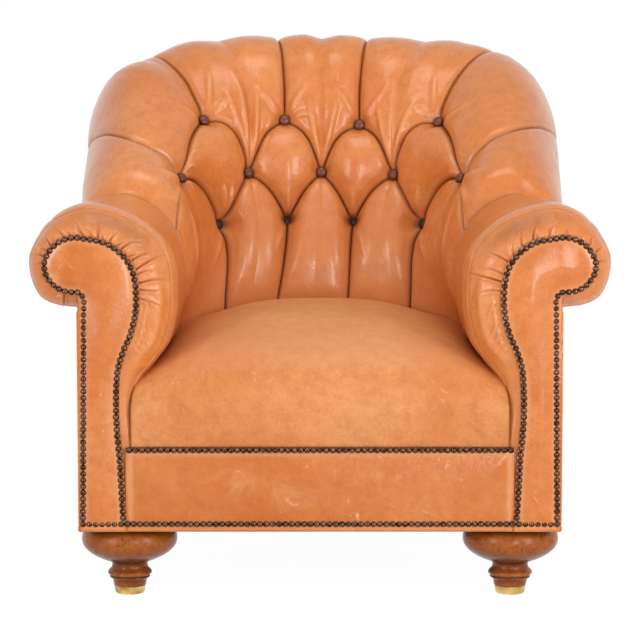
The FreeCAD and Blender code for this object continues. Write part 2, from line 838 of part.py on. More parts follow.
def front_foot():
    """A turned bun with a collar above, and a neck, a double ring and an ankle below."""
    z = [foot_height, foot_height - collar_height]
    top = vector(0, 0, z[0])
    collar_top = vector(collar_radius, 0, z[0])
    collar_foot = vector(collar_radius, 0, z[1])
    bun_side = vector(bun_radius, 0, bun_height)
    shoulder_x = (bun_radius + collar_radius) / 2 + collar_height
    shoulder = vector(shoulder_x, 0, (bun_height + z[1]) / 2 + collar_height)
    bun_low = vector(bun_bottom_radius, 0, bun_bottom)
    in_share, up_share = bun_belly_shares
    belly_x = bun_radius - (bun_radius - bun_bottom_radius) * in_share
    belly = vector(belly_x, 0, bun_bottom + (bun_height - bun_bottom) * up_share)
    neck = vector(neck_radius, 0, neck_height)
    ring_top = vector(ring_groove_radius, 0, 2 * ring_height - ring_groove_height)
    cove_x = neck_radius + (ring_groove_radius - neck_radius) * cove_share
    cove = vector(cove_x, 0, (neck_height + ring_top.z) / 2)
    ring = vector(ring_radius, 0, ring_height)
    groove = vector(ring_groove_radius, 0, ring_groove_height)
    ankle = vector(ankle_radius, 0, ankle_height)
    low_ring_z = (ring_groove_height + ankle_height) / 2 + ferrule_wall
    low_ring = vector(ring_groove_radius + ferrule_wall, 0, low_ring_z)
    tip_radius = ferrule_bottom_radius - ferrule_wall - layer_gap
    ankle_low = vector(ferrule_top_radius, 0, ferrule_height)
    spigot_top = vector(tip_radius, 0, ferrule_height)
    spigot_foot = vector(tip_radius, 0, ferrule_wall)
    outline = Part.Wire([
        Part.LineSegment(top, collar_top).toShape(),
        Part.LineSegment(collar_top, collar_foot).toShape(),
        Part.Arc(collar_foot, shoulder, bun_side).toShape(),
        Part.Arc(bun_side, belly, bun_low).toShape(),
        Part.LineSegment(bun_low, neck).toShape(),
        Part.Arc(neck, cove, ring_top).toShape(),
        Part.Arc(ring_top, ring, groove).toShape(),
        Part.Arc(groove, low_ring, ankle).toShape(),
        Part.LineSegment(ankle, ankle_low).toShape(),
        Part.LineSegment(ankle_low, spigot_top).toShape(),
        Part.LineSegment(spigot_top, spigot_foot).toShape(),
        Part.LineSegment(spigot_foot, vector(0, 0, ferrule_wall)).toShape(),
        Part.LineSegment(vector(0, 0, ferrule_wall), top).toShape(),
    ])
    return Part.Face(outline).revolve(origin, upward, 360).cut(bolt(0, 0, front_bolt_drop))


def bolt(x, y, drop):
    """A hanger bolt, or its bore: from a depth in the foot up into the corner block."""
    foot = foot_height - drop
    return Part.makeCylinder(bolt_radius, frame_bottom + bolt_rise - foot, vector(x, y, foot))


def hanger_bolts():
    front = bolt(front_foot_offset, front_foot_reach, front_bolt_drop)
    rear = bolt(rear_leg_offset, rear_leg_reach, rear_bolt_drop)
    return [front, other_side(front), rear, other_side(rear)]


def foot_plate(x, y):
    """Steel plate under a corner block, with the foot's bolt through it."""
    half = foot_plate_side / 2
    low = frame_bottom - foot_plate_thickness
    plate = block(x - half, x + half, y - half, y + half, low, frame_bottom)
    return plate.cut(bolt(x, y, front_bolt_drop))


def ferrule():
    """A brass cup round the end of the foot, its lower edge rounded."""
    outer = Part.makeCone(ferrule_bottom_radius, ferrule_top_radius, ferrule_height - layer_gap)
    low_edges = [edge for edge in outer.Edges if edge.BoundBox.ZMax < layer_gap]
    outer = outer.makeFillet(ferrule_round, [edge for edge in low_edges if edge.Closed][:1])
    bore_radius = ferrule_bottom_radius - ferrule_wall
    bore = Part.makeCylinder(bore_radius, ferrule_height, vector(0, 0, ferrule_wall))
    return outer.cut(bore)


def rear_leg():
    """A plain square leg, tapered and raked to the rear."""
    def square(side, y, z):
        half = side / 2
        corners = [(-half, -half), (half, -half), (half, half), (-half, half)]
        points = [vector(rear_leg_offset + x, y + dy, z) for x, dy in corners]
        return Part.makePolygon(points + points[:1])

    top = square(rear_leg_top, rear_leg_reach, foot_height)
    foot = square(rear_leg_bottom, rear_leg_reach + rear_leg_splay, glide_thickness)
    leg = Part.makeLoft([foot, top], True, True)
    return leg.cut(bolt(rear_leg_offset, rear_leg_reach, rear_bolt_drop))


def coil_spring(x, y):
    """The waisted envelope of a hand-tied coil spring, as a thin shell of revolution."""
    foot = frame_bottom
    waist = (foot + spring_top) / 2
    outer = [(spring_radius, foot), (spring_waist, waist), (spring_radius, spring_top)]
    inner = [(radius - spring_wall, z) for radius, z in outer[::-1]]
    points = [vector(radius, 0, z) for radius, z in outer + inner]
    return polygon_face(points).revolve(origin, upward, 360).translated(vector(x, y, 0))


def spring_rows():
    """Places of the springs' rows, from the front to the rear."""
    front = post_rear + spring_front_setback
    pitch = (base_rear - spring_rear_setback - front) / (springs_deep - 1)
    return [front + pitch * j for j in range(springs_deep)]


def spring_columns():
    outer = body_half_width - spring_side_setback
    pitch = 2 * outer / (springs_across - 1)
    return [pitch * i - outer for i in range(springs_across)]


def spring_grid():
    return [(x, y) for x in spring_columns() for y in spring_rows()]


def edge_wire():
    """The steel wire lashed round the tops of the springs."""
    spots = spring_grid()
    half = max(x for x, _ in spots) + spring_radius - edge_wire_radius
    front = min(y for _, y in spots) - spring_radius + edge_wire_radius
    rear = max(y for _, y in spots) + spring_radius - edge_wire_radius
    z = spring_top + edge_wire_radius
    r = spring_radius
    slant = r * (1 - diagonal_share)
    corners = [(half, front, 1, -1), (half, rear, 1, 1), (-half, rear, -1, 1), (-half, front, -1, -1)]
    edges = []
    stops = []
    for x, y, sx, sy in corners:
        first, second = vector(x, y - sy * r, z), vector(x - sx * r, y, z)
        if sx * sy < 0:
            first, second = second, first
        stops.append((first, vector(x - sx * slant, y - sy * slant, z), second))
    for i, (first, middle, second) in enumerate(stops):
        edges.append(Part.Arc(first, middle, second).toShape())
        edges.append(Part.LineSegment(second, stops[(i + 1) % len(stops)][0]).toShape())
    path = Part.Wire(edges)
    start = stops[0][2]
    ring = Part.Wire([Part.Circle(start, rearward, edge_wire_radius).toShape()])
    return path.makePipe(Part.Face(ring))


def bent_rail(half_width, reach, start, corner, width, thickness):
    """A bent rail: two straight sides from a start, round corners and a straight rear, lying flat."""
    def run(inset):
        half = half_width - inset
        rear = reach - inset
        radius = corner - inset
        slant = radius * diagonal_share
        cx, cy = half - radius, rear - radius
        right = [vector(half, start, 0), vector(half, (start + cy) / 2, 0), vector(half, cy, 0),
                 vector(cx + slant, cy + slant, 0), vector(cx, rear, 0)]
        left = [vector(-p.x, p.y, 0) for p in right[::-1]]
        return right + [vector(0, rear, 0)] + left

    return Part.Face(closed_outline(run(0), run(width)[::-1])).extrude(vector(0, 0, thickness))


def wing_rail_underside(y):
    return wing_rail_start + (y - wing_front) * wing_rail_slope


def wing_rail():
    """Bent rail inside the roll of the back, from one arm up round to the other."""
    pitch = math.atan(wing_rail_slope)
    width = arm_rail_outer - arm_rail_inner
    reach = (wing_rail_reach - wing_front) / math.cos(pitch)
    rail = bent_rail(arm_rail_outer, reach, 0, wing_rail_corner, width, wing_rail_thickness)
    rail.rotate(origin, across, math.degrees(pitch))
    rail.translate(vector(0, wing_front, wing_rail_start))
    ahead = block(-body_half_width, body_half_width, -half_depth, wing_front - layer_gap, 0, back_height)
    return rail.cut(ahead)


def back_tuck_rail():
    """Bent rail behind the seat, where the inside back is tacked down."""
    pad_rear = back_line_point(0, 0).y + back_stuffing + back_pad_depth + webbing_thickness
    outer = tuck_rail_inner + rail_thickness
    rail = bent_rail(outer, pad_rear + rail_thickness, wing_front, back_tuck_corner, rail_thickness,
                     back_tuck_rail_height)
    return rail.translated(vector(0, 0, tuck_rail_bottom))


def back_post():
    """A raked post from the rear rail up to the underside of the wing rail."""
    low = rail_top + layer_gap
    rear = base_rear + back_lean * (low - foot_height) - leather - layer_gap
    top_rear = wing_rail_reach - overrun
    ends = [(rear - back_post_depth, low), (rear, low)]
    for y in (top_rear, top_rear - back_post_depth):
        ends.append((y, wing_rail_underside(y) - layer_gap))
    x = back_post_offset_share * body_half_width - back_post_width / 2
    return polygon_face([vector(x, y, z) for y, z in ends]).extrude(vector(back_post_width, 0, 0))


def outside_shell():
    """Leather round the sides and rear of the body, below the tuck under the roll."""
    low = foot_height
    high = tuck_rear_rise + overrun
    front = facing_rear + layer_gap

    def leaning(inset, ahead):
        wires = [plan_wire(z, inset, front - ahead, back_lean) for z in (low, high)]
        return Part.makeLoft(wires, True, True)

    shell = leaning(0, 0).cut(leaning(leather, overrun))
    wide = body_half_width + overrun
    tuck = [(front - overrun, tuck_front_rise), (wing_front, tuck_wing_rise),
            (tuck_rear_reach + overrun, tuck_rear_rise), (tuck_rear_reach + overrun, high + back_height),
            (front - overrun, high + back_height)]
    above = polygon_face([vector(-wide, y, z) for y, z in tuck]).extrude(vector(2 * wide, 0, 0))
    return shell.cut(above)


def body_shell_pieces():
    """The outside arms and the outside back, parted at seams on the rear corners."""
    shell = outside_shell()
    seam = base_rear - base_corner_radius
    wide = body_half_width + overrun
    rear = tuck_rear_reach + half_depth
    high = 2 * back_height
    back = shell.common(block(-wide, wide, seam + layer_gap, rear, 0, high))
    right = shell.common(block(0, wide, -half_depth - overrun, seam, 0, high))
    return back, right


def corner_block_front():
    """Corner block behind the front rail, over the foot."""
    outer = body_half_width - leather - rail_thickness - 2 * layer_gap
    front = post_rear + layer_gap
    length = corner_block_length
    points = [(outer, front), (outer, front + length), (outer - length / 2, front + length),
              (outer - length, front + length / 2), (outer - length, front)]
    face = polygon_face([vector(x, y, frame_bottom) for x, y in points])
    return face.extrude(vector(0, 0, corner_block_height))


def corner_block_rear():
    """Corner block in the round of the rear rail, over the leg."""
    radius = base_corner_radius - leather - rail_thickness - 2 * layer_gap
    cx = body_half_width - base_corner_radius
    cy = base_rear - base_corner_radius
    ends = []
    for angle in map(math.radians, corner_block_angles):
        ends.append(vector(cx + radius * math.cos(angle), cy + radius * math.sin(angle), frame_bottom))
    face = Part.Face(Part.Wire([Part.Arc(*ends).toShape(), Part.LineSegment(ends[2], ends[0]).toShape()]))
    return face.extrude(vector(0, 0, corner_block_height))


def rear_rail():
    """Bent rear rail, round both corners from side rail to side rail."""
    inset = leather + layer_gap
    start = base_rear - base_corner_radius
    rail = bent_rail(body_half_width - inset, base_rear - inset, start - rail_thickness,
                     base_corner_radius - inset, rail_thickness, rail_top - frame_bottom)
    return rail.translated(vector(0, 0, frame_bottom))


def seat_webbing():
    """Straps under the seat frame, front to rear over side to side."""
    front = post_front
    rear = base_rear - leather - layer_gap - rail_thickness / 2
    half = body_half_width - leather - rail_thickness
    level = foot_height + dust_cover_thickness
    straps = []
    for x in spring_columns():
        straps.append(block(x - webbing_width / 2, x + webbing_width / 2, front, rear,
                            level + webbing_thickness, level + 2 * webbing_thickness))
    for y in spring_rows():
        straps.append(block(-half, half, y - webbing_width / 2, y + webbing_width / 2,
                            level, level + webbing_thickness))
    return straps


def frame_parts():
    post = facing_board(post_front, post_rear, -post_inset, frame_bottom)
    _, (inner_x, _) = scroll_points(facing_foot_shares)
    post_inner = inner_x + post_inset
    outer = body_half_width - leather - layer_gap
    half_rail = post_inner - layer_gap
    save("front_rail", block(-half_rail, half_rail, post_front, post_rear, frame_bottom, rail_top))
    save("rear_rail", rear_rail())
    side_end = base_rear - base_corner_radius - rail_thickness - layer_gap
    side_start = post_rear + layer_gap
    inner = outer - rail_thickness
    save_pair("side_rail", block(inner, outer, side_start, side_end, frame_bottom, rail_top))
    save_pair("arm_front_post", post)
    arm_end = wing_front - 2 * layer_gap
    save_pair("arm_top_rail", block(arm_rail_inner, arm_rail_outer, side_start, arm_end,
                                    arm_rail_bottom, arm_rail_bottom + arm_rail_thickness))
    save_pair("arm_tuck_rail", block(tuck_rail_inner, tuck_rail_inner + rail_thickness, side_start, arm_end,
                                     tuck_rail_bottom, tuck_rail_bottom + tuck_rail_height))
    post_start = arm_end - wing_post_depth
    save_pair("wing_post", block(inner, outer, post_start, arm_end, rail_top, arm_rail_bottom))
    save("wing_rail", wing_rail())
    save("back_tuck_rail", back_tuck_rail())
    save_pair("back_post", back_post())
    bolts = hanger_bolts()
    save("hanger_bolts", *bolts)
    front_block = corner_block_front().cut(bolts[0])
    rear_block = corner_block_rear().cut(bolts[2])
    save("corner_blocks", front_block, other_side(front_block), rear_block, other_side(rear_block))
    lining = plan_slab(foot_height, foot_height + dust_cover_thickness, leather + layer_gap, post_front)
    save("dust_cover", lining.cut(bolts))


def seat_parts():
    save("seat_webbing", *seat_webbing())
    save("seat_springs", *[coil_spring(x, y) for x, y in spring_grid()])
    save("spring_edge_wire", edge_wire())
    level = spring_top + 2 * edge_wire_radius + layer_gap
    inset = body_half_width - seat_half_width + rail_thickness
    roll_front = post_front + edge_roll_setback
    cloth_front = roll_front + edge_roll_depth
    save("seat_hessian", plan_slab(level, level + hessian_thickness, inset, cloth_front))
    half = seat_half_width - leather - layer_gap
    roll = block(-half, half, roll_front, cloth_front - layer_gap, rail_top + layer_gap, level)
    top_front = [e for e in roll.Edges if e.BoundBox.ZMin > level - 2 * layer_gap
                 and e.BoundBox.YMax < roll_front + layer_gap]
    save("seat_edge_roll", roll.makeFillet(edge_roll_round, top_front))
    save("seat_pad", seat_pad())
    save("seat_cover", seat_cover())


def button_places():
    return [place for row in button_row_shares for place in row]


def back_parts():
    quilt = back_layout()
    face = (lambda line: 0, 1)
    lining = (lambda line: leather, 1)
    pad_face = (lambda line: leather + layer_gap, 1)
    pad_rear = (lambda line: back_stuffing + pad_level(line), 0)
    save("tufted_back_cover", between_layers(quilt, face, lining))
    save("back_pad", between_layers(quilt, pad_face, pad_rear).cut(twines()))
    save("button_twines", *twines())
    pads = button()
    save("tuft_buttons", *[on_back(pads, turn, line, -button_sink) for turn, line in button_places()])

    def behind(extra):
        return lambda t, n: back_place(t, n, -back_stuffing - pad_level(n) - hessian_clearance - extra)

    straps = []
    edges = []
    for turn in back_strap_shares:
        turns = [turn - back_strap_half_share, turn + back_strap_half_share]
        edges += turns
        rear = behind(back_layer + webbing_thickness)
        straps.append(slab(turns, back_strap_line_shares, behind(back_layer), rear))
    save("back_webbing", *straps)
    cloth = slab(edges, back_strap_line_shares, behind(0), behind(hessian_thickness))
    save("back_hessian", cloth.cut(twines()))


def arm_parts():
    save_pair("arm_front_wrap", arm_front_wrap())
    save_pair("arm_cover", arm_cover())
    save_pair("arm_pad", arm_pad())
    save_pair("arm_facing", facing_board(facing_front, facing_rear, facing_margin, foot_height))


def outside_parts():
    back, right = body_shell_pieces()
    save("outside_back", back)
    save_pair("outside_arm", right)
    _, (inner_x, _) = scroll_points(facing_foot_shares)
    half = inner_x - facing_margin - layer_gap
    save("front_border", block(-half, half, facing_front + border_step, facing_rear, foot_height,
                               seat_nail_height + facing_margin / 2))


def nail_parts():
    wire = arm_nail_wire()
    right = nail_row(wire, facing_front)
    save("arm_nails_right", *right)
    save("arm_nails_left", *[other_side(nail) for nail in right])
    (outer_x, _), (inner_x, _) = scroll_points(facing_foot_shares)
    save("base_nails", *nail_row(line_wire(-outer_x, outer_x, base_nail_height), facing_front))
    half = inner_x - nail_pitch
    save("seat_nails", *nail_row(line_wire(-half, half, seat_nail_height), facing_front + border_step))


def foot_parts():
    spot = vector(front_foot_offset, front_foot_reach, 0)
    save_pair("front_foot", front_foot().translated(spot))
    save_pair("ferrule", ferrule().translated(spot))
    save_pair("rear_leg", rear_leg())
    leg_foot = vector(rear_leg_offset, rear_leg_reach + rear_leg_splay, 0)
    glide = Part.makeCylinder(glide_radius, glide_thickness, leg_foot)
    save("rear_glides", glide, other_side(glide))
    front = foot_plate(front_foot_offset, front_foot_reach)
    rear = foot_plate(rear_leg_offset, rear_leg_reach)
    save("foot_plates", front, other_side(front), rear, other_side(rear))


frame_parts()
seat_parts()
back_parts()
arm_parts()
outside_parts()
nail_parts()
foot_parts()
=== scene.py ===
import math

import bpy
import bmesh
import numpy as np
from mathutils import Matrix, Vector, geometry


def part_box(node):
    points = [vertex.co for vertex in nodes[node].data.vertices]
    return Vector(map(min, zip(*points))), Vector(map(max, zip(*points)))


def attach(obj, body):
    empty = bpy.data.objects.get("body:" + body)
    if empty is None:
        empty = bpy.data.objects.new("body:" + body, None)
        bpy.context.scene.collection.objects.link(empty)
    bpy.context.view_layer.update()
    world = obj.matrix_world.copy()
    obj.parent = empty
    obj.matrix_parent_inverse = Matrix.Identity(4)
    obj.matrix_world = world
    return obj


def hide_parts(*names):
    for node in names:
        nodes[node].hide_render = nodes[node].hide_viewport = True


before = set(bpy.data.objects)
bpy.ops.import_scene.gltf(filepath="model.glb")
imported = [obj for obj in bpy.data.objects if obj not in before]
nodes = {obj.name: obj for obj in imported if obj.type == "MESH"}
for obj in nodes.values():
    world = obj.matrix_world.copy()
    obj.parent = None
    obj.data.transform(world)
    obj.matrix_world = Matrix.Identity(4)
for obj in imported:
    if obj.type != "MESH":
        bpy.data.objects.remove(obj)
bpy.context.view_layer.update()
bpy.ops.object.select_all(action="DESELECT")

# The chair faces -Y. Its main sizes in metres, as the solids have them.
chair = {
    "halfDepth": 0.46,
    "halfWidth": 0.403,
    "armHeight": 0.667,
    "backHeight": 0.95,
    "wingFront": -0.108,
    "footHeight": 0.12,
    "facingFront": -0.4555,
    "facingRear": -0.4475,
    "baseRear": 0.245,
    "baseCorner": 0.23,
    "layerGap": 0.0003,
}


# Mesh helpers

def graded(count, ease=0.6):
    # Places from 0 to 1 that lie closer together at both ends
    even = np.linspace(0, 1, count + 1)
    return (1 - ease) * even + ease * (1 - np.cos(math.pi * even)) / 2


def ramp(x, low, high):
    # Rises smoothly from 0 at the low value to 1 at the high one
    x = np.clip((x - low) / (high - low), 0, 1)
    return x * x * (3 - 2 * x)


def bell(x, width):
    return np.exp(-(x / width) ** 2)


def quarterRound(x):
    # Rises from 0 to 1 as a quarter of a circle does, and stays there
    return np.sqrt(1 - (1 - np.minimum(x, 1)) ** 2)


def smoothThrough(points, at):
    # Smooth curves through a stack of point rows, read at places counted along the stack
    last = len(points) - 1
    k = np.clip(at.astype(int), 0, last - 1)
    f = (at - k)[:, None]
    before = 2 * points[:1] - points[1:2]
    after = 2 * points[-1:] - points[-2:-1]
    stack = np.concatenate([before, points, after])
    n = np.arange(len(at))
    p0, p1, p2, p3 = (stack[k + i, n] for i in range(4))
    bend = 2 * p0 - 5 * p1 + 4 * p2 - p3
    twist = 3 * (p1 - p2) + p3 - p0
    return (2 * p1 + (p2 - p0) * f + bend * f ** 2 + twist * f ** 3) / 2


def curveThrough(places, at):
    # One smooth curve through a row of places
    return smoothThrough(np.repeat(np.array(places, float)[:, None], len(at), 1), at)


def evenCurve(places, count):
    return curveThrough(places, np.linspace(0, len(places) - 1, count))


def surfaceNormal(spot, first, second, ends):
    # ends: the range of each of the surface's two measures, which no step leaves
    step = 1e-3
    (low, high), (near, far) = ends
    alongFirst = spot(np.minimum(first + step, high), second) - spot(np.maximum(first - step, low), second)
    alongSecond = spot(first, np.minimum(second + step, far)) - spot(first, np.maximum(second - step, near))
    normal = np.cross(alongFirst, alongSecond)
    return normal / np.linalg.norm(normal, axis=-1, keepdims=True)


def pathDistance(points, path):
    # Distance from points to a path, and the share along it of the nearest place
    run = np.diff(path, axis=0)
    offset = points[:, None] - path[None, :-1]
    square = np.maximum((run ** 2).sum(-1), 1e-14)
    share = np.clip((offset * run).sum(-1) / square, 0, 1)
    gap = np.linalg.norm(offset - share[..., None] * run, axis=-1)
    nearest = gap.argmin(1)
    row = np.arange(len(points))
    return gap[row, nearest], (nearest + share[row, nearest]) / len(run)


def edgeGaps(points, edges):
    # Distance from each point to each edge, never quite zero
    return [np.maximum(pathDistance(points, edge)[0], 1e-7) for edge in edges]


def softLeast(gaps, power):
    # The least of some distances, without a crease where two are equal
    return sum(gap ** -power for gap in gaps) ** (-1 / power)


def foldLift(points, paths):
    # Ridges with a shallow valley on each side; a path is (points, height, width)
    lift = np.zeros(len(points))
    for path, height, width in paths:
        low, high = path.min(0) - 4 * width, path.max(0) + 4 * width
        near = np.all((points > low) & (points < high), axis=1)
        if not near.any():
            continue
        gap, share = pathDistance(points[near], path)
        x = (gap / width) ** 2
        taper = np.sin(math.pi * np.clip(share, 0.02, 0.98)) ** 0.7
        lift[near] += height * taper * (1 - 0.9 * x) * np.exp(-x)
    return lift


def quadsOf(index):
    return np.stack([index[:-1, :-1], index[:-1, 1:], index[1:, 1:], index[1:, :-1]], -1).reshape(-1, 4)


def closedSlab(outer, inner, shape):
    # Two nets of one shape, joined round their rims
    size = shape[0] * shape[1]
    index = np.arange(size).reshape(shape)
    rim = np.concatenate([index[0, :-1], index[:-1, -1], index[-1, :0:-1], index[:0:-1, 0]])
    after = np.roll(rim, -1)
    walls = np.stack([after, rim, rim + size, after + size], -1)
    faces = np.concatenate([quadsOf(index), quadsOf(index)[:, ::-1] + size, walls])
    return np.concatenate([outer, inner]), faces.tolist()


def makePiece(name, points, faces, smoothAngle=None, **attributes):
    mesh = bpy.data.meshes.new(name)
    mesh.from_pydata(np.asarray(points).tolist(), [], faces)
    work = bmesh.new()
    work.from_mesh(mesh)
    bmesh.ops.recalc_face_normals(work, faces=work.faces)
    work.to_mesh(mesh)
    work.free()
    mesh.shade_smooth()
    piece = bpy.data.objects.new(name, mesh)
    bpy.context.scene.collection.objects.link(piece)
    if smoothAngle:
        bpy.ops.object.select_all(action="DESELECT")
        piece.select_set(True)
        bpy.context.view_layer.objects.active = piece
        bpy.ops.object.shade_smooth_by_angle(angle=math.radians(smoothAngle))
        piece.select_set(False)
    for key, values in attributes.items():
        # The two faces of a sheet share one set of values
        layer = mesh.attributes.new(key, "FLOAT", "POINT")
        layer.data.foreach_set("value", np.resize(values, len(points)).astype(np.float32))
    return piece


def takeShape():
    # The mesh that is being modelled, as points and polygons; its object goes
    bpy.ops.object.mode_set(mode="OBJECT")
    model = bpy.context.object
    points = np.array([v.co for v in model.data.vertices])
    polygons = [list(p.vertices) for p in model.data.polygons]
    bpy.data.objects.remove(model)
    return points, polygons


def addCopy(points, faces, shape, polygons):
    start = len(points) * len(shape)
    points.append(shape)
    faces += [[start + v for v in polygon] for polygon in polygons]


def finish(piece, material):
    piece.data.materials.clear()
    piece.data.materials.append(materials[material])


def dress(piece, material, slot, *replaced):
    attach(piece, "root")
    finish(piece, material)
    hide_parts(*replaced)


# Materials

def hexColor(text):
    parts = [int(text[i:i + 2], 16) / 255 for i in (1, 3, 5)]
    linear = [p / 12.92 if p <= 0.04045 else ((p + 0.055) / 1.055) ** 2.4 for p in parts]
    return (*linear, 1.0)


def addNode(tree, kind, inputs=(), **settings):
    # Inputs go by name, or by their order; a socket of another node is linked, and a value is set
    node = tree.nodes.new(kind)
    for key, value in settings.items():
        setattr(node, key, value)
    for key, value in (inputs if isinstance(inputs, dict) else dict(enumerate(inputs))).items():
        if isinstance(value, bpy.types.NodeSocket):
            tree.links.new(value, node.inputs[key])
        else:
            node.inputs[key].default_value = value
    return node


def layColors(tree, color, layers):
    # Colours laid over one another: each has a mask, the range over which it shows and how strongly,
    # or None where the mask is used as it is, and a hex value
    for mask, shown, tint in layers:
        if shown:
            low, high, strength = shown
            mask = addNode(tree, "ShaderNodeMapRange", (mask, low, high, 0.0, strength)).outputs[0]
        mixed = addNode(tree, "ShaderNodeMix", {0: mask, 6: color, 7: hexColor(tint)}, data_type="RGBA")
        color = mixed.outputs[2]
    return color


def makeMaterials(looks, surface):
    # surface gives the settings of a look's Principled shader
    made = {}
    for name, look in looks.items():
        made[name] = bpy.data.materials.new(name)
        made[name].use_nodes = True
        tree = made[name].node_tree
        tree.nodes.clear()
        place = addNode(tree, "ShaderNodeTexCoord").outputs["Object"]
        shader = addNode(tree, "ShaderNodeBsdfPrincipled", surface(tree, place, look))
        addNode(tree, "ShaderNodeOutputMaterial", {"Surface": shader.outputs[0]})
    return made


# Full-grain aniline leather, hand waxed: warm clouds of colour, a fine pebble grain, painted shade in the
# folds, paler where it is worn and where highlights and light are painted, and a soft broad gloss.
# the "crease" tone is that of the painted shade, and of the patina on the arm crowns
leatherLooks = {
    "waxedCaramelLeather": {
        "pale": "#DC8C4F", "mid": "#CF7736", "deep": "#B65E24", "crease": "#4E1A06",
        "roughness": (0.15, 0.28), "coat": 0.18, "grainMm": 1.5, "grainDepth": 0.00013,
        "creasingDepth": 0.0007, "scratches": 0.55, "scuffs": 0.2,
    },
    "scuffedCaramelLeather": {
        "pale": "#D38144", "mid": "#C2671F", "deep": "#A95116", "crease": "#4E1A06",
        "roughness": (0.16, 0.3), "coat": 0.18, "grainMm": 1.5, "grainDepth": 0.0001,
        "creasingDepth": 0.0006, "scratches": 0.9, "scuffs": 0.45,
    },
    "wornSeatLeather": {
        "pale": "#D68F56", "mid": "#C77537", "deep": "#AD5C26", "crease": "#542410",
        "roughness": (0.44, 0.6), "coat": 0.05, "grainMm": 1.6, "grainDepth": 0.00028,
        "creasingDepth": 0.0013, "scratches": 0.5, "scuffs": 0.6,
    },
    "darkButtonLeather": {
        "pale": "#7A3F24", "mid": "#5E2C18", "deep": "#3E1A0D", "crease": "#1E0B05",
        "roughness": (0.24, 0.34), "coat": 0.15, "grainMm": 1.0, "grainDepth": 0.00008,
        "creasingDepth": 0.0002, "scratches": 0.1, "scuffs": 0.2,
    },
}
# Each noise of the leather: its size in mm, and its settings
leatherNoises = {
    "clouds": (222.2, {"Detail": 5.0, "Distortion": 0.4}),
    "mottle": (21.74, {"Detail": 8.0, "Roughness": 0.7}),
    "flecks": (4.762, {"Detail": 4.0, "Roughness": 0.6}),
    "patches": (66.67, {"Detail": 10.0, "Roughness": 0.8, "Distortion": 0.6}),
    "wander": (58.82, {"Detail": 1.0}),
    "creasing": (10.526, {"Detail": 3.0, "Roughness": 0.5, "Distortion": 0.8}),
}


def leatherSurface(tree, place, look):
    noise = {}
    for key, (size, more) in leatherNoises.items():
        settings = {"Vector": place, "Scale": 1000 / size, **more}
        noise[key] = addNode(tree, "ShaderNodeTexNoise", settings).outputs[0]
    rub, worn, fold = (addNode(tree, "ShaderNodeAttribute", attribute_name=key).outputs["Fac"]
                       for key in ("rub", "worn", "fold"))
    # Scuffs: pale broken patches where the wax has rubbed off, and more of them in the worn places
    scuff = addNode(tree, "ShaderNodeMapRange", (noise["patches"], 0.6, 0.74, 0.0, look["scuffs"] * 0.7))
    wear = addNode(tree, "ShaderNodeMapRange", (noise["patches"], 0.44, 0.62, 0.0, 0.8))
    wear = addNode(tree, "ShaderNodeMath", (worn, wear.outputs[0]), operation="MULTIPLY")
    scuff = addNode(tree, "ShaderNodeMath", (scuff.outputs[0], wear.outputs[0]), operation="MAXIMUM")
    # Scratches: short curved hairlines, where a slow noise passes its middle
    offset = addNode(tree, "ShaderNodeMath", (noise["wander"], 0.5), operation="SUBTRACT")
    offset = addNode(tree, "ShaderNodeMath", (offset.outputs[0],), operation="ABSOLUTE")
    line = addNode(tree, "ShaderNodeMapRange", (offset.outputs[0], 0.003, 0.008, 1.0, 0.0))
    broken = addNode(tree, "ShaderNodeMapRange", (noise["patches"], 0.555, 0.6, 0.0, look["scratches"] * 0.7))
    scratch = addNode(tree, "ShaderNodeMath", (line.outputs[0], broken.outputs[0]), operation="MULTIPLY")
    color = layColors(tree, hexColor(look["mid"]), [
        (noise["clouds"], (0.34, 0.7, 1.0), look["pale"]),
        (noise["mottle"], (0.42, 0.74, 0.55), look["deep"]),
        (noise["flecks"], (0.5, 0.72, 0.3), look["deep"]),
        # paler where the leather is worn and pulled, and where highlights and light are painted
        (rub, None, "#ECA974"),
        (scuff.outputs[0], None, "#E6A874"),
        (scratch.outputs[0], None, "#F0BC90"),
        # painted shade in folds, pleats, dimples and at edges, and the real patina on the arm crowns
        (fold, None, look["crease"]),
    ])
    gloss = addNode(tree, "ShaderNodeMapRange", (noise["mottle"], 0.3, 0.7, *look["roughness"]))
    gloss = addNode(tree, "ShaderNodeMath", (fold, 0.5, gloss.outputs[0]), operation="MULTIPLY_ADD")
    # Grain: pebbles of the hide, with a soft creasing over several millimetres
    pebbles = addNode(tree, "ShaderNodeTexVoronoi", {
        "Vector": place, "Scale": 1000 / look["grainMm"], "Smoothness": 0.6}, feature="SMOOTH_F1")
    bump = addNode(tree, "ShaderNodeBump", {
        "Height": noise["creasing"], "Distance": look["creasingDepth"], "Strength": 0.9})
    bump = addNode(tree, "ShaderNodeBump", {
        "Height": pebbles.outputs[0], "Distance": look["grainDepth"], "Strength": 0.8,
        "Normal": bump.outputs[0]})
    return {"Base Color": color, "Roughness": gloss.outputs[0], "Normal": bump.outputs[0], "IOR": 1.45,
            "Specular IOR Level": 0.4, "Coat Weight": look["coat"], "Coat Roughness": 0.12}


# Hardwood, turned or sawn: long grain streaks, fine dark pores, a thin wax or a raw face
woodLooks = {
    "waxedWalnutBeech": {"pale": "#B0601F", "mid": "#87420F", "deep": "#32140A", "roughness": (0.2, 0.32),
                         "along": (1.0, 0.5, 1.0)},
    "sawnBeech": {"pale": "#D9B78C", "mid": "#C79F70", "deep": "#A67C4E", "roughness": (0.6, 0.75),
                  "along": (0.12, 1.0, 1.0)},
}
woodGrain = {"ringMm": 23.81, "poreMm": 2.381}


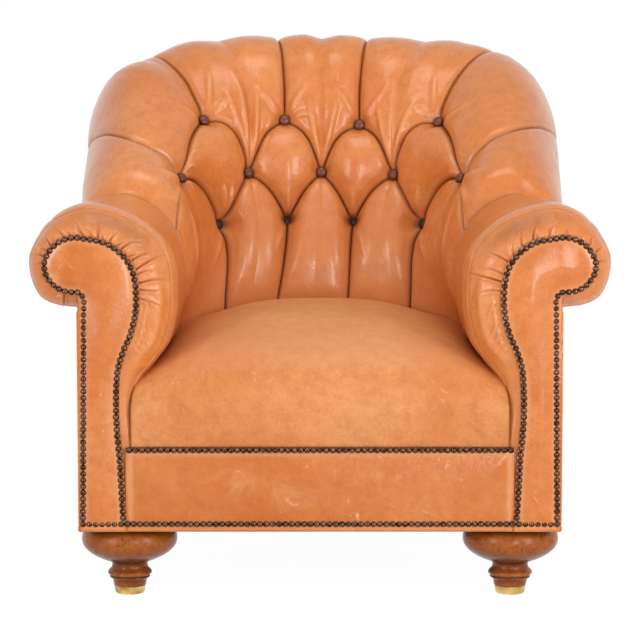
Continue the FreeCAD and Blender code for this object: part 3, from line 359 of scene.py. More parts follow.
def woodSurface(tree, place, look):
    place = addNode(tree, "ShaderNodeMapping", {"Vector": place, "Scale": look["along"]}).outputs[0]
    rings = addNode(tree, "ShaderNodeTexNoise", {
        "Vector": place, "Scale": 1000 / woodGrain["ringMm"], "Detail": 5.0, "Roughness": 0.6,
        "Distortion": 1.4})
    pores = addNode(tree, "ShaderNodeTexNoise", {
        "Vector": place, "Scale": 1000 / woodGrain["poreMm"], "Detail": 3.0})
    stain = addNode(tree, "ShaderNodeAttribute", attribute_name="stain").outputs["Fac"]
    color = layColors(tree, hexColor(look["mid"]), [
        (rings.outputs[0], (0.35, 0.65, 1.0), look["pale"]),
        (rings.outputs[0], (0.56, 0.68, 0.7), look["deep"]),
        (pores.outputs[0], (0.6, 0.72, 0.55), look["deep"]),
        # painted shade in the grooves of a turning and under the body
        (stain, None, look["deep"]),
    ])
    gloss = addNode(tree, "ShaderNodeMapRange", (rings.outputs[0], 0.3, 0.7, *look["roughness"]))
    bump = addNode(tree, "ShaderNodeBump", {"Height": pores.outputs[0], "Distance": 0.0002, "Strength": 0.5})
    return {"Base Color": color, "Roughness": gloss.outputs[0], "Normal": bump.outputs[0], "IOR": 1.45,
            "Specular IOR Level": 0.3}


# Metals: drawn brass, bronze-washed steel nails, oiled spring steel
metalLooks = {
    "polishedBrass": {"pale": "#E3C27A", "deep": "#A8823E", "roughness": (0.34, 0.16), "blotchMm": 16.67},
    "antiqueBronze": {"pale": "#735443", "deep": "#33221A", "roughness": (0.3, 0.18), "blotchMm": 6.25},
    "oiledSteel": {"pale": "#8C8780", "deep": "#5E5A55", "roughness": (0.5, 0.35), "blotchMm": 12.5},
}


def metalSurface(tree, place, look):
    # Tarnished blotches are darker and rougher
    tarnish = addNode(tree, "ShaderNodeTexNoise", {
        "Vector": place, "Scale": 1000 / look["blotchMm"], "Detail": 5.0}).outputs[0]
    color = layColors(tree, hexColor(look["deep"]), [(tarnish, (0.36, 0.64, 1.0), look["pale"])])
    gloss = addNode(tree, "ShaderNodeMapRange", (tarnish, 0.3, 0.7, *look["roughness"]))
    return {"Base Color": color, "Roughness": gloss.outputs[0], "Metallic": 1.0}


# Cloths: jute webbing, cotton wadding and lining, each a plain weave of its own thread spacing
clothLooks = {
    "wovenJute": {"pale": "#B99A6B", "deep": "#7E6238", "threadMm": 2.4, "roughness": 0.9},
    "cottonWadding": {"pale": "#E4DCCB", "deep": "#C4B89F", "threadMm": 6.0, "roughness": 0.95},
    "blackLining": {"pale": "#2C2C2E", "deep": "#151517", "threadMm": 1.2, "roughness": 0.9},
}


def clothSurface(tree, place, look):
    # One thread over, one under. The wave repeats every 0.314 of its unit, so the weave is drawn about
    # six times as coarse as the real one, which would be too fine to show.
    scale = 1000 / look["threadMm"] / 20
    warp, weft = (addNode(tree, "ShaderNodeTexWave", {"Vector": place, "Scale": scale}, bands_direction=way)
                  for way in "XY")
    weave = addNode(tree, "ShaderNodeMath", (warp.outputs["Fac"], weft.outputs["Fac"]), operation="MULTIPLY")
    color = layColors(tree, hexColor(look["deep"]), [(weave.outputs[0], None, look["pale"])])
    bump = addNode(tree, "ShaderNodeBump", {"Height": weave.outputs[0], "Distance": 0.0005, "Strength": 0.6})
    return {"Base Color": color, "Roughness": look["roughness"], "Normal": bump.outputs[0]}


materials = {}
for looks, surface in ((leatherLooks, leatherSurface), (woodLooks, woodSurface), (metalLooks, metalSurface),
                       (clothLooks, clothSurface)):
    materials.update(makeMaterials(looks, surface))
print("materials made")


# Tufted inside back

# The six lines of the back, from the seat crease over the roll to the tuck behind: half width,
# middle reach, middle height, height at the arm, squareness and shoulder, as in the solids.
backLines = [
    (0.707, 0.265, 0.476, 0.607, 2.6, 0.0),
    (0.596, 0.37, 0.642, 0.768, 2.6, 0.0),
    (0.655, 0.513, 0.876, 0.921, 2.8, 0.02),
    (0.873, 0.663, 0.975, 1.0, 3.8, 0.06),
    (1.03, 0.947, 0.912, 0.897, 4.2, 0.06),
    (0.99, 0.878, 0.832, 0.78, 4.0, 0.04),
]
lastLine = len(backLines) - 1

tufting = {
    "buttonRows": [
        [(-0.524, 2.049), (-0.169, 1.78), (0.188, 1.742), (0.536, 2.052)],
        [(-0.77, 1.936), (-0.352, 1.413), (0.007, 1.365), (0.361, 1.401), (0.784, 1.98)],
        [(-0.48, 1.062), (-0.159, 0.985), (0.161, 0.967), (0.488, 1.072)],
    ],
    "buttonDepth": [-0.003, -0.006, -0.019],
    "roofPleats": [
        [(-0.517, 2.298), (-0.502, 2.52), (-0.488, 3.0), (-0.483, 3.6), (-0.48, 5.0)],
        [(-0.152, 2.36), (-0.144, 2.7), (-0.143, 3.2), (-0.143, 5.0)],
        [(0.172, 2.301), (0.162, 2.7), (0.16, 3.2), (0.16, 5.0)],
        [(0.516, 2.407), (0.503, 2.72), (0.495, 3.1), (0.492, 3.6), (0.49, 5.0)],
    ],
    "wingPleats": [
        [(-0.795, 2.331), (-0.815, 2.654), (-0.808, 3.0), (-0.753, 3.434), (-0.698, 4.0), (-0.69, 5.0)],
        [(0.795, 2.372), (0.795, 2.656), (0.79, 3.0), (0.735, 3.45), (0.68, 4.0), (0.67, 5.0)],
    ],
    "seatPleats": [
        [(-0.397, 0.0), (-0.44, 0.5)],
        [(-0.178, 0.0), (-0.172, 0.26)],
        [(0.117, 0.0), (0.129, 0.256)],
        [(0.376, 0.0), (0.431, 0.49)],
    ],
    "wingJunctions": [[(-1.0, 1.875), (-0.925, 1.985)], [(1.0, 1.87), (0.925, 1.985)]],
    "upperBow": (0.014, 0.055),
    "lowerBow": (0.008, 0.03),
    "pleatRise": 0.013,
    "sidePleatRise": 0.004,
    "seatPleatRise": 0.012,
    "junctionRise": 0.008,
    "creaseRise": 0.004,
    "roofPleatRise": 0.014,
    "swell": {"diamond": 0.01, "low": 0.012, "top": 0.013, "lowSide": 0.005, "shoulder": 0.01, "wing": 0.012},
    "edgeRoll": (0.0115, 0.0135),
    "rollFade": (2.3, 3.1, 0.6),
    # how far the pull of a button reaches, for the inner and the outer buttons of each row
    "dimple": [(0.013, 0.015), (0.013, 0.023), (0.0105, 0.017)],
    # painted shade round the buttons of each row, darkest in the deep third row, and its reach
    "buttonShade": [0.35, 0.45, 1.0],
    "pinch": 0.0125,
    # painted shade, its darkness and width: a pleat's line, its soft shade, and the line beside an arm
    "lineDark": (1.0, 0.0015),
    "shade": (0.2, 0.009),
    "armLine": (0.4, 0.0015),
    # a pleat's painted shade is dark near its buttons and fainter where it runs free: how much stays, and the
    # reach
    "freeDark": (0.66, 0.045),
    # painted highlights and light: along the rolled edges (strength, place, width), and on the low back,
    # where little lamp light reaches
    "rubbedEdge": (0.22, 0.0055, 0.0022),
    # strength, then the lines and the turns between which it fades
    "lowBackLight": (0.38, (0.2, 1.4), (0.45, 0.75)),
    # a fold has a painted highlight on its ridge, and lies clear of the pleats
    "foldRub": (0.35, 0.005),
    "foldClear": 0.006,
    # beside an arm the rolled edges and the fullness die away
    "armFade": (0.045, 0.03),
    # the lines between which the fullness comes up, and dies away behind
    "fullLines": ((2.1, 3.1), (4.0, 4.8)),
    # how full the outline is over the roll: turn and lift
    "fullness": [(-1.0, 0.002), (-0.84, 0.006), (-0.71, 0.003), (-0.62, 0.008), (-0.58, 0.01),
                 (-0.55, 0.004), (-0.52, -0.006), (-0.45, -0.011), (-0.3, -0.004), (-0.05, 0.002),
                 (0.12, 0.0), (0.26, -0.006), (0.43, -0.005), (0.48, 0.004), (0.53, 0.013),
                 (0.58, 0.017), (0.66, 0.016), (0.76, 0.013), (0.9, 0.013), (1.0, 0.01)],
    # faces along a short and a long pleat
    "short": 48,
    "long": 120,
    # the point inside each arm that closes the sides, and how the lowest edge is tucked in
    "sideCentre": (0.8, 0.56),
    "tuckedDown": (0.0, 0.004, -0.035),
}
# Folds pulled out of the leather: three places each, then height and width in mm
backFolds = [
    # long pulls that rise from the second row into the top panels
    ((-0.372, 1.5), (-0.398, 1.8), (-0.42, 2.15), 5.1, 8.0),
    ((-0.356, 1.52), (-0.362, 1.85), (-0.355, 2.3), 6.0, 9.0),
    ((-0.34, 1.5), (-0.315, 1.75), (-0.285, 2.05), 5.1, 8.0),
    ((-0.33, 1.46), (-0.28, 1.62), (-0.23, 1.78), 3.3, 6.0),
    ((0.0, 1.47), (-0.03, 1.68), (-0.06, 1.95), 3.3, 8.0),
    ((0.018, 1.47), (0.05, 1.68), (0.085, 1.95), 3.9, 8.0),
    ((0.372, 1.5), (0.4, 1.75), (0.44, 2.1), 4.5, 9.0),
    ((0.358, 1.52), (0.345, 1.8), (0.33, 2.2), 3.6, 9.0),
    ((0.35, 1.5), (0.31, 1.7), (0.265, 1.92), 3.9, 8.0),
    # short pulls round the first row
    ((-0.15, 1.8), (-0.11, 1.95), (-0.06, 2.1), 4.5, 7.0),
    ((-0.19, 1.8), (-0.235, 1.95), (-0.29, 2.08), 4.5, 7.0),
    ((-0.15, 1.76), (-0.09, 1.8), (-0.03, 1.78), 3.3, 6.0),
    ((0.175, 1.78), (0.12, 1.92), (0.07, 2.05), 4.2, 7.0),
    ((0.21, 1.78), (0.265, 1.95), (0.31, 2.12), 3.9, 8.0),
    ((-0.505, 2.08), (-0.465, 2.25), (-0.43, 2.42), 3.9, 8.0),
    ((-0.495, 2.03), (-0.45, 2.05), (-0.405, 2.02), 3.9, 7.0),
    ((0.52, 2.09), (0.48, 2.25), (0.45, 2.4), 3.9, 8.0),
    ((0.512, 2.04), (0.47, 2.02), (0.43, 1.96), 3.6, 7.0),
    ((-0.545, 2.07), (-0.59, 2.25), (-0.625, 2.45), 3.6, 9.0),
    ((0.56, 2.08), (0.605, 2.25), (0.64, 2.45), 3.6, 9.0),
    # bunched folds between the left button of the second row and the third row
    ((-0.742, 1.96), (-0.702, 1.88), (-0.672, 1.76), 3.9, 4.8),
    ((-0.745, 1.9), (-0.716, 1.78), (-0.702, 1.64), 3.9, 4.8),
    ((-0.736, 2.02), (-0.69, 2.0), (-0.655, 1.92), 3.0, 4.5),
    ((-0.525, 1.42), (-0.502, 1.28), (-0.488, 1.14), 5.1, 6.0),
    ((-0.47, 1.38), (-0.47, 1.26), (-0.474, 1.14), 3.9, 6.0),
    ((0.535, 1.42), (0.514, 1.28), (0.498, 1.16), 3.9, 7.0),
    ((0.755, 1.95), (0.72, 1.84), (0.7, 1.68), 3.6, 6.0),
    # pulls down into the third row and out of it below
    ((-0.165, 1.22), (-0.162, 1.12), (-0.161, 1.02), 3.3, 6.0),
    ((0.168, 1.2), (0.168, 1.1), (0.167, 1.01), 3.3, 6.0),
    ((-0.178, 0.88), (-0.2, 0.74), (-0.215, 0.6), 2.7, 7.0),
    ((0.182, 0.86), (0.205, 0.72), (0.22, 0.58), 2.7, 7.0),
    ((-0.5, 1.0), (-0.545, 0.84), (-0.58, 0.66), 3.3, 8.0),
    ((0.512, 1.02), (0.555, 0.86), (0.59, 0.7), 3.3, 8.0),
    # the wings, pulled from the outer buttons
    ((-0.815, 2.05), (-0.87, 2.25), (-0.905, 2.5), 4.5, 10.0),
    ((-0.84, 1.99), (-0.9, 2.06), (-0.95, 2.12), 3.6, 8.0),
    ((0.83, 2.1), (0.88, 2.3), (0.915, 2.52), 4.2, 10.0),
    ((0.85, 2.04), (0.91, 2.1), (0.955, 2.14), 3.6, 8.0),
    ((-0.84, 1.7), (-0.87, 1.35), (-0.86, 1.0), 4.5, 12.0),
    ((0.85, 1.74), (0.88, 1.4), (0.87, 1.05), 4.5, 12.0),
]


def backSpot(turn, line):
    angle = turn * math.pi / 2
    rows = []
    for half, reach, rise, armRise, square, shoulder in backLines:
        radius = (np.abs(np.sin(angle)) ** square + np.abs(np.cos(angle)) ** square) ** (-1 / square)
        fill = 1 + shoulder * np.sin(2 * angle) ** 4
        fall = 1 - radius * np.cos(angle) * fill
        middleY = reach * chair["halfDepth"]
        middleZ = rise * chair["backHeight"]
        rows.append(np.stack([
            half * chair["halfWidth"] * radius * np.sin(angle) * fill,
            middleY - (middleY - chair["wingFront"]) * fall,
            middleZ - (middleZ - armRise * chair["armHeight"]) * fall,
        ], -1))
    return smoothThrough(np.array(rows), line)


def backNormal(turn, line):
    return surfaceNormal(backSpot, turn, line, ((-np.inf, np.inf), (0, lastLine)))


def backPath(places, count=24):
    # A path over the back's base surface through some (turn, line) places
    turn, line = evenCurve(places, count).T
    return backSpot(turn, np.clip(line, 0, lastLine))


def pleat(places, ends, rise, count):
    # A pleat through some places: rows of turn, line and height above the level of the buttons
    places = np.array(places, float)
    steps = np.linalg.norm(np.diff(backSpot(*places.T), axis=0), axis=1)
    marks = np.concatenate([[0], np.cumsum(steps)]) / steps.sum()
    share = graded(count)
    curve = curveThrough(places, np.interp(share, marks, np.arange(len(places))))
    height = ends[0] + (ends[1] - ends[0]) * share + rise * np.sin(math.pi * share) ** 0.8
    return np.column_stack([curve, height])


def bowed(upper, lower, bow):
    # Between two buttons: shallow at the upper one, steep at the lower one
    middleTurn = (upper[0] + lower[0]) / 2 + math.copysign(bow[0], lower[0] - upper[0])
    return [upper, (middleTurn, (upper[1] + lower[1]) / 2 + bow[1]), lower]


def joinEdges(first, second):
    return np.concatenate([first, second[1:]])


def panelGrid(bottom, top, left, right):
    # A patch of turns, lines and heights blended from its four edges
    def marks(edge):
        return np.concatenate([[0], np.cumsum(np.linalg.norm(np.diff(edge[:, :2], axis=0), axis=1))])

    def shares(first, second):
        both = [marks(e) / marks(e)[-1] for e in (first, second)]
        return (both[0] + both[1]) / 2

    u = shares(bottom, top)[None, :, None]
    v = shares(left, right)[:, None, None]
    ruled = (1 - v) * bottom[None] + v * top[None] + (1 - u) * left[:, None] + u * right[:, None]
    corners = ((1 - u) * (1 - v) * bottom[0] + u * (1 - v) * bottom[-1]
               + (1 - u) * v * top[0] + u * v * top[-1])
    return ruled - corners, u[..., 0], v[..., 0]


def tuftedPanels():
    # Pleats are made once and shared, so that neighbouring panels meet point on point
    short, long = tufting["short"], tufting["long"]
    top, middle, low = tufting["buttonRows"]
    deepTop, deepMiddle, deepLow = tufting["buttonDepth"]
    rise, sideRise, roofRise = tufting["pleatRise"], tufting["sidePleatRise"], tufting["roofPleatRise"]
    toLeft, toRight = (
        [pleat(bowed(top[i], middle[i + k], tufting["upperBow"]), (deepTop, deepMiddle), rise, short)
         for i in range(4)] for k in range(2))
    # The outermost pleat on each side rises less
    down, back = (
        [pleat(bowed(middle[i + k], low[i], tufting["lowerBow"]), (deepMiddle, deepLow),
               sideRise if i == 3 * k else rise, short) for i in range(4)] for k in range(2))
    seat = [pleat(run + [end], (0.0, deepLow), tufting["seatPleatRise"], short)
            for run, end in zip(tufting["seatPleats"], low)]
    roof = [pleat([start] + run, (deepTop, 0.0), roofRise, long)
            for run, start in zip(tufting["roofPleats"], top)]
    wing, junction, armLow, armHigh = [], [], [], []
    for i, button in enumerate((middle[0], middle[-1])):
        end, meeting = 2.0 * i - 1, tufting["wingJunctions"][i]
        wing.append(pleat([button] + tufting["wingPleats"][i], (deepMiddle, 0.0), roofRise, long))
        junction.append(pleat(meeting + [button], (0.0, deepMiddle), tufting["junctionRise"], short))
        armLow.append(pleat([(end, 0.0), (end, 1.0), meeting[0]], (0.0, 0.0), 0.0, short))
        armHigh.append(pleat([meeting[0], (end, 3.0), (end, lastLine)], (0.0, 0.0), 0.0, long))

    def across(first, second, rise, line, count):
        return pleat([(first, line), ((first + second) / 2, line), (second, line)], (0.0, 0.0), rise, count)

    def crease(first, second):
        return across(first, second, tufting["creaseRise"], 0.0, 2 * short)

    def tuck(first, second, count=short):
        return across(first, second, 0.0, lastLine, count)

    # Where each long pleat ends, at the seat or behind
    seatEnds = [run[0][0] for run in seat]
    roofEnds, wingEnds = ([run[-1][0] for run in runs] for runs in (roof, wing))
    # Each panel: its bottom, top, left and right edges, and how much it swells
    swell = tufting["swell"]
    panels = [(back[i][::-1], toLeft[i][::-1], down[i][::-1], toRight[i][::-1], swell["diamond"])
              for i in range(4)]
    for i in range(3):
        arch = joinEdges(back[i][::-1], down[i + 1])
        panels.append((crease(seatEnds[i], seatEnds[i + 1]), arch, seat[i], seat[i + 1], swell["low"]))
        valley = joinEdges(toRight[i], toLeft[i + 1][::-1])
        behind = tuck(roofEnds[i], roofEnds[i + 1], 2 * short)
        panels.append((valley, behind, roof[i], roof[i + 1], swell["top"]))
    lowLeft, lowRight = joinEdges(junction[0], down[0]), joinEdges(back[3][::-1], junction[1][::-1])
    return panels + [
        (crease(-1.0, seatEnds[0]), lowLeft, armLow[0], seat[0], swell["lowSide"]),
        (crease(seatEnds[3], 1.0), lowRight, seat[3], armLow[1], swell["lowSide"]),
        (toLeft[0][::-1], tuck(wingEnds[0], roofEnds[0]), wing[0], roof[0], swell["shoulder"]),
        (toRight[3], tuck(roofEnds[3], wingEnds[1]), roof[3], wing[1], swell["shoulder"]),
        (junction[0], tuck(-1.0, wingEnds[0]), armHigh[0], wing[0], swell["wing"]),
        (junction[1][::-1], tuck(wingEnds[1], 1.0), wing[1], armHigh[1], swell["wing"]),
    ]


def panelLift(turn, line, height, swell, dome, gap, beside, lower, ruck):
    # How far a panel's leather stands out: its edges roll up from the pleats, and its middle swells
    depth, reach = tufting["edgeRoll"]
    fadeStart, fadeEnd, fadeKeep = tufting["rollFade"]
    # Over the roll the leather is tauter than on the face
    taut = ramp(line, fadeStart, fadeEnd)
    rollFade, fullFade = (ramp(beside, 0, far) for far in tufting["armFade"])
    rolled = lower * depth * quarterRound(gap / reach) * rollFade * (1 - (1 - fadeKeep) * taut)
    comesUp, diesAway = (ramp(line, *between) for between in tufting["fullLines"])
    full = comesUp * (1 - diesAway) * fullFade * np.interp(turn, *zip(*tufting["fullness"]))
    return height + rolled + full + swell * (1 - taut) * np.maximum(dome, 0) ** 0.75 + ruck


def panelSurface(bottom, top, left, right, swell, folds):
    # A panel's points, their darkness, rub, turns and lines, and the shape of its net
    grid, u, v = panelGrid(bottom, top, left, right)
    shape = grid.shape[:2]
    turn, line, height = (grid[..., i].ravel() for i in range(3))
    line = np.clip(line, 0, lastLine)
    base = backSpot(turn, line)
    net = base.reshape(*shape, 3)
    gaps = edgeGaps(base, [net[0], net[-1], net[:, 0], net[:, -1]])
    # Beside an arm the leather lies down softly, and at the seat it runs on full into the crease
    beside, lower = np.full(len(base), 1.0), 1.0
    if left[:, 0].max() == -1.0:
        beside = gaps.pop(2)
    elif right[:, 0].min() == 1.0:
        beside = gaps.pop(3)
    if bottom[:, 1].max() == 0.0:
        gaps.pop(0)
        lower = 0.5 if len(gaps) == 2 else 1.0
    gap = softLeast(gaps, 5.0)
    dome = (np.sin(math.pi * u) * np.sin(math.pi * v)).ravel()
    ruck = np.minimum(gap / tufting["foldClear"], 1) ** 2 * foldLift(base, folds)
    lift = panelLift(turn, line, height, swell, dome, gap, beside, lower, ruck)
    # Painted shade: a dark line in each pleat and beside the arms, a soft shade round the pleats, and more
    # round the buttons
    (lineDark, lineWide), (shade, shadeWide), (armDark, armWide) = (
        tufting[key] for key in ("lineDark", "shade", "armLine"))
    dark = (lineDark * np.exp(-(gap / lineWide) ** 1.3) + armDark * np.exp(-beside / armWide)
            + shade * np.exp(-gap / shadeWide))
    pinched, toButton = 0.0, 1.0
    rowsOfButtons = zip(*(tufting[key] for key in ("buttonRows", "buttonDepth", "dimple", "buttonShade")))
    for spots, sunk, (inner, outer), darkness in rowsOfButtons:
        for k, spot in enumerate(spots):
            away = np.linalg.norm(base - backSpot(*np.array([spot]).T), axis=1)
            near = bell(away, outer if k in (0, len(spots) - 1) else inner)
            lift = lift * (1 - near) + sunk * near
            pinched = np.maximum(pinched, darkness * np.exp(-(away / tufting["pinch"]) ** 4))
            toButton = np.minimum(toButton, away)
    kept, reach = tufting["freeDark"]
    dark = np.maximum(dark * (kept + (1 - kept) * np.exp(-toButton / reach)), pinched)
    # Painted light: a highlight along the rolled edges, one on the ridges of the folds, and a paler low back
    # where little lamp light reaches
    strength, middle, wide = tufting["rubbedEdge"]
    most, lowLines, sideTurns = tufting["lowBackLight"]
    lowBackLight = most * (1 - ramp(line, *lowLines)) * (1 - ramp(np.abs(turn), *sideTurns))
    foldRub, wholeAt = tufting["foldRub"]
    rub = foldRub * np.clip(ruck / wholeAt, 0, 1) + strength * bell(gap - middle, wide) + lowBackLight
    return (base + backNormal(turn, line) * lift[:, None], dark, rub, turn, line), shape


def closeBehind(points, turns, lines, faces):
    # Joins the seat edge to the edge tucked behind, and each side to a point inside the arm
    def along(mask, key):
        found = np.flatnonzero(mask)
        return found[np.argsort(key[found])].tolist()

    low, high = along(lines < 1e-6, turns), along(lines > lastLine - 1e-6, turns)
    i = j = 0
    while i < len(low) - 1 or j < len(high) - 1:
        if j < len(high) - 1 and (i == len(low) - 1 or turns[high[j + 1]] < turns[low[i + 1]]):
            faces.append([low[i], high[j + 1], high[j]])
            j += 1
        else:
            faces.append([low[i], low[i + 1], high[j]])
            i += 1
    for end in (-1.0, 1.0):
        side = along(np.abs(turns - end) < 1e-6, lines)
        middle = len(points)
        share, height = tufting["sideCentre"]
        points = np.concatenate([points, [[end * share * chair["halfWidth"], chair["wingFront"], height]]])
        faces += [[a, b, middle] for a, b in zip(side, side[1:] + side[:1])]
    # The lowest edge is tucked down behind the seat
    points[low] += tufting["tuckedDown"]
    return points


def makeTuftedBack():
    folds = [(backPath(places), height / 1000, width / 1000) for *places, height, width in backFolds]
    found, faces, start = [], [], 0
    for panel in tuftedPanels():
        surface, (rows, columns) = panelSurface(*panel, folds)
        found.append(surface)
        faces.append(quadsOf(np.arange(rows * columns).reshape(rows, columns)) + start)
        start += rows * columns
    points, darks, rubs, turns, lines = map(np.concatenate, zip(*found))
    # The points that neighbouring panels share become one
    _, first, inverse = np.unique(np.round(points, 6), axis=0, return_index=True, return_inverse=True)
    points, darks, rubs, turns, lines = (x[first] for x in (points, darks, rubs, turns, lines))
    faces = inverse.ravel()[np.concatenate(faces)].tolist()
    points = closeBehind(points, turns, lines, faces)
    darks, rubs = (np.append(values, [0.0, 0.0]) for values in (darks, rubs))
    piece = makePiece("tuftedBack", points, faces, fold=np.clip(darks, 0, 1) * 0.9, rub=rubs)
    dress(piece, "waxedCaramelLeather", "tan_leather", "tufted_back_cover", "back_pad")


makeTuftedBack()
print("tufted back made")


# Buttons

# the buttons of the lower rows are painted darker as shade, the deep third row most
buttonLook = {"radius": 0.0108, "dome": 0.0066, "stand": [0.0028, 0.003, -0.007], "dark": [0.0, 0.15, 0.85]}


def makeButtons():
    # One covered button, a flattened ball, copied to each place
    bpy.ops.object.select_all(action="DESELECT")
    bpy.ops.mesh.primitive_uv_sphere_add(segments=20, ring_count=12, radius=buttonLook["radius"])
    bpy.ops.object.mode_set(mode="EDIT")
    bpy.ops.mesh.select_all(action="SELECT")
    bpy.ops.transform.resize(value=(1, 1, buttonLook["dome"] / buttonLook["radius"]))
    shape, polygons = takeShape()
    points, faces, darks = [], [], []
    for row, depth, stand, dark in zip(tufting["buttonRows"], tufting["buttonDepth"],
                                       buttonLook["stand"], buttonLook["dark"]):
        for spot in row:
            at = np.array([spot]).T
            normal = backNormal(*at)[0]
            side = np.cross(normal, (0, 0, 1.0))
            side /= np.linalg.norm(side)
            centre = backSpot(*at)[0] + normal * (depth + buttonLook["dome"] + stand)
            turned = shape @ np.stack([side, np.cross(side, normal), normal])
            addCopy(points, faces, centre + turned, polygons)
            darks += [dark] * len(shape)
    piece = makePiece("tuftButtons", np.concatenate(points), faces, fold=darks)
    dress(piece, "darkButtonLeather", "button_leather", "tuft_buttons")


makeButtons()
print("buttons made")


# Seat

seatLines = [
    (0.29, 0.466, 0.668, 0.05, 0.446),
    (-0.05, 0.497, 0.66, -0.28, 0.428),
    (-0.48, 0.494, 0.696, -0.63, 0.413),
    (-0.82, 0.457, 0.756, -0.88, 0.392),
    (-0.968, 0.384, 0.781, -0.966, 0.354),
    (-0.976, 0.276, 0.782, -0.976, 0.276),
]
seatLook = {
    "fallOff": 2.8,
    "across": 150,
    "along": 190,
    "padDepth": 0.03,
    "cornerFolds": 7,
    # painted shade along the seat's edges, where it meets the arms and the back
    "edgeShade": (0.5, 0.006),
    # the top is paler, partly worn and partly painted light from above: strength, and the lines between which
    # it fades
    "rub": (0.34, 2.9, 3.9),
}


def seatSpot(turn, line):
    fall = np.abs(turn) ** seatLook["fallOff"]
    rows = []
    for middleY, middleZ, half, sideY, sideZ in seatLines:
        rows.append(np.stack([
            chair["halfWidth"] * half * turn,
            chair["halfDepth"] * (middleY + (sideY - middleY) * fall),
            chair["backHeight"] * (middleZ + (sideZ - middleZ) * fall),
        ], -1))
    return smoothThrough(np.array(rows), line)


def makeSeat():
    last = len(seatLines) - 1
    turn, line = np.meshgrid(2 * graded(seatLook["across"], 0.4) - 1,
                             np.linspace(0, last, seatLook["along"] + 1))
    shape = turn.shape
    turn, line = turn.ravel(), line.ravel()
    base = seatSpot(turn, line)
    normal = -surfaceNormal(seatSpot, turn, line, ((-np.inf, np.inf), (0, last)))
    # Short folds fan out of the front corners
    rng = np.random.default_rng(7)
    folds = []
    for end in (-1, 1):
        for k in range(seatLook["cornerFolds"]):
            first = 4.0 + 0.12 * k
            path = [(end * (0.995 - 0.01 * k), first + 0.1), (end * (0.93 - 0.02 * k), first - 0.15),
                    (end * (0.84 - 0.03 * rng.random()), first - 0.45)]
            folds.append((seatSpot(*evenCurve(path, 16).T), 0.001 + 0.0006 * rng.random(), 0.007))
    outer = base + normal * foldLift(base, folds)[:, None]
    inner = base - normal * seatLook["padDepth"]
    edge = np.minimum(1 - np.abs(turn), line / last * 0.4)
    # The top is paler, partly wear and partly painted light from above; painted shade darkens the edges
    strength, fadeStart, fadeEnd = seatLook["rub"]
    rub = strength * (1 - ramp(line, fadeStart, fadeEnd)) * (1 - np.abs(turn) ** 4)
    darkness, wide = seatLook["edgeShade"]
    piece = makePiece("seatLeather", *closedSlab(outer, inner, shape),
                      fold=darkness * np.exp(-edge / wide), rub=rub)
    dress(piece, "wornSeatLeather", "seat_leather", "seat_cover", "seat_pad")


makeSeat()
print("seat made")


# Arms

# Points round the scroll of the right arm, from the tuck beside the seat to its underside, as
# shares of the half width and the arm height: at the front, at the wing, and along the nails.
scrollFront = [
    (0.772, 0.375), (0.78, 0.47), (0.756, 0.549), (0.679, 0.604), (0.62, 0.661), (0.591, 0.768),
    (0.62, 0.885), (0.764, 0.967), (0.968, 1.0), (1.139, 0.964), (1.196, 0.87), (1.139, 0.778),
    (0.995, 0.742),
]
scrollRear = [
    (0.722, 0.375), (0.73, 0.47), (0.713, 0.549), (0.662, 0.602), (0.622, 0.661), (0.596, 0.768),
    (0.622, 0.882), (0.732, 0.967), (0.881, 1.0), (1.01, 0.972), (1.067, 0.897), (1.052, 0.822),
    (0.995, 0.78),
]
scrollNails = [
    (0.828, 0.375), (0.84, 0.5), (0.834, 0.582), (0.816, 0.624), (0.789, 0.661), (0.754, 0.765),
    (0.767, 0.832), (0.844, 0.892), (0.955, 0.913), (1.092, 0.895), (1.131, 0.849), (1.109, 0.811),
    (1.0, 0.783),
]
scrollReal = np.array([chair["halfWidth"], chair["armHeight"]])
lastSpot = len(scrollFront) - 1
armLook = {
    "frontRoll": 0.07,
    # low beside the seat the front turns a tighter corner: its share, and where it is whole
    "tightCorner": (0.2, 3.6),
    "seamShare": 0.66,
    "padDepth": 0.018,
    "wrapRound": 640,
    "rollRound": 260,
    "wrapRows": 44,
    "rollRows": 84,
    # hands have darkened the crown of each front: strength, then place and reach round it and along it
    "patina": (0.44, 7.2, 1.1, 0.4, 0.17),
    # each seam: how far its round edge reaches, the width of its line of painted shade, and where round the
    # scroll it shows
    "seam": (0.006, 0.001, 2.4, 4.4),
    # how much of the scroll's fullness is lost towards the wing, where it is sunk and where it is full
    "fullnessLost": (0.3, 0.7),
    # paler places: a painted highlight on the pulls' ridges, and the edge at the nails, partly pulled paler
    # and partly a painted highlight
    "pullRidgeHighlight": (0.3, 0.004),
    "nailEdgePaleAndHighlight": (0.35, 0.08),
}


def armSpot(at, share, inset=0.0):
    front = chair["facingRear"] + chair["layerGap"]
    tight, whole = armLook["tightCorner"]
    roll = armLook["frontRoll"] * (tight + (1 - tight) * ramp(at, 0, whole))
    angle = np.minimum(share, 1) * math.pi / 2
    swell = np.sin(angle)
    setback = np.maximum(share - 1, 0)
    y = front + (1 - np.cos(angle)) * roll + (chair["wingFront"] - chair["layerGap"] - front - roll) * setback
    rows = []
    for nail, fore, rear in zip(scrollNails, scrollFront, scrollRear):
        nail, fore, rear = (np.array(p) * scrollReal for p in (nail, fore, rear))
        away = (fore - nail) / np.linalg.norm(fore - nail)
        whole = fore + setback[:, None] * (rear - fore)
        flat = nail + swell[:, None] * (whole - nail) - inset * away
        rows.append(np.stack([flat[:, 0], y, flat[:, 1]], -1))
    return smoothThrough(np.array(rows), at)


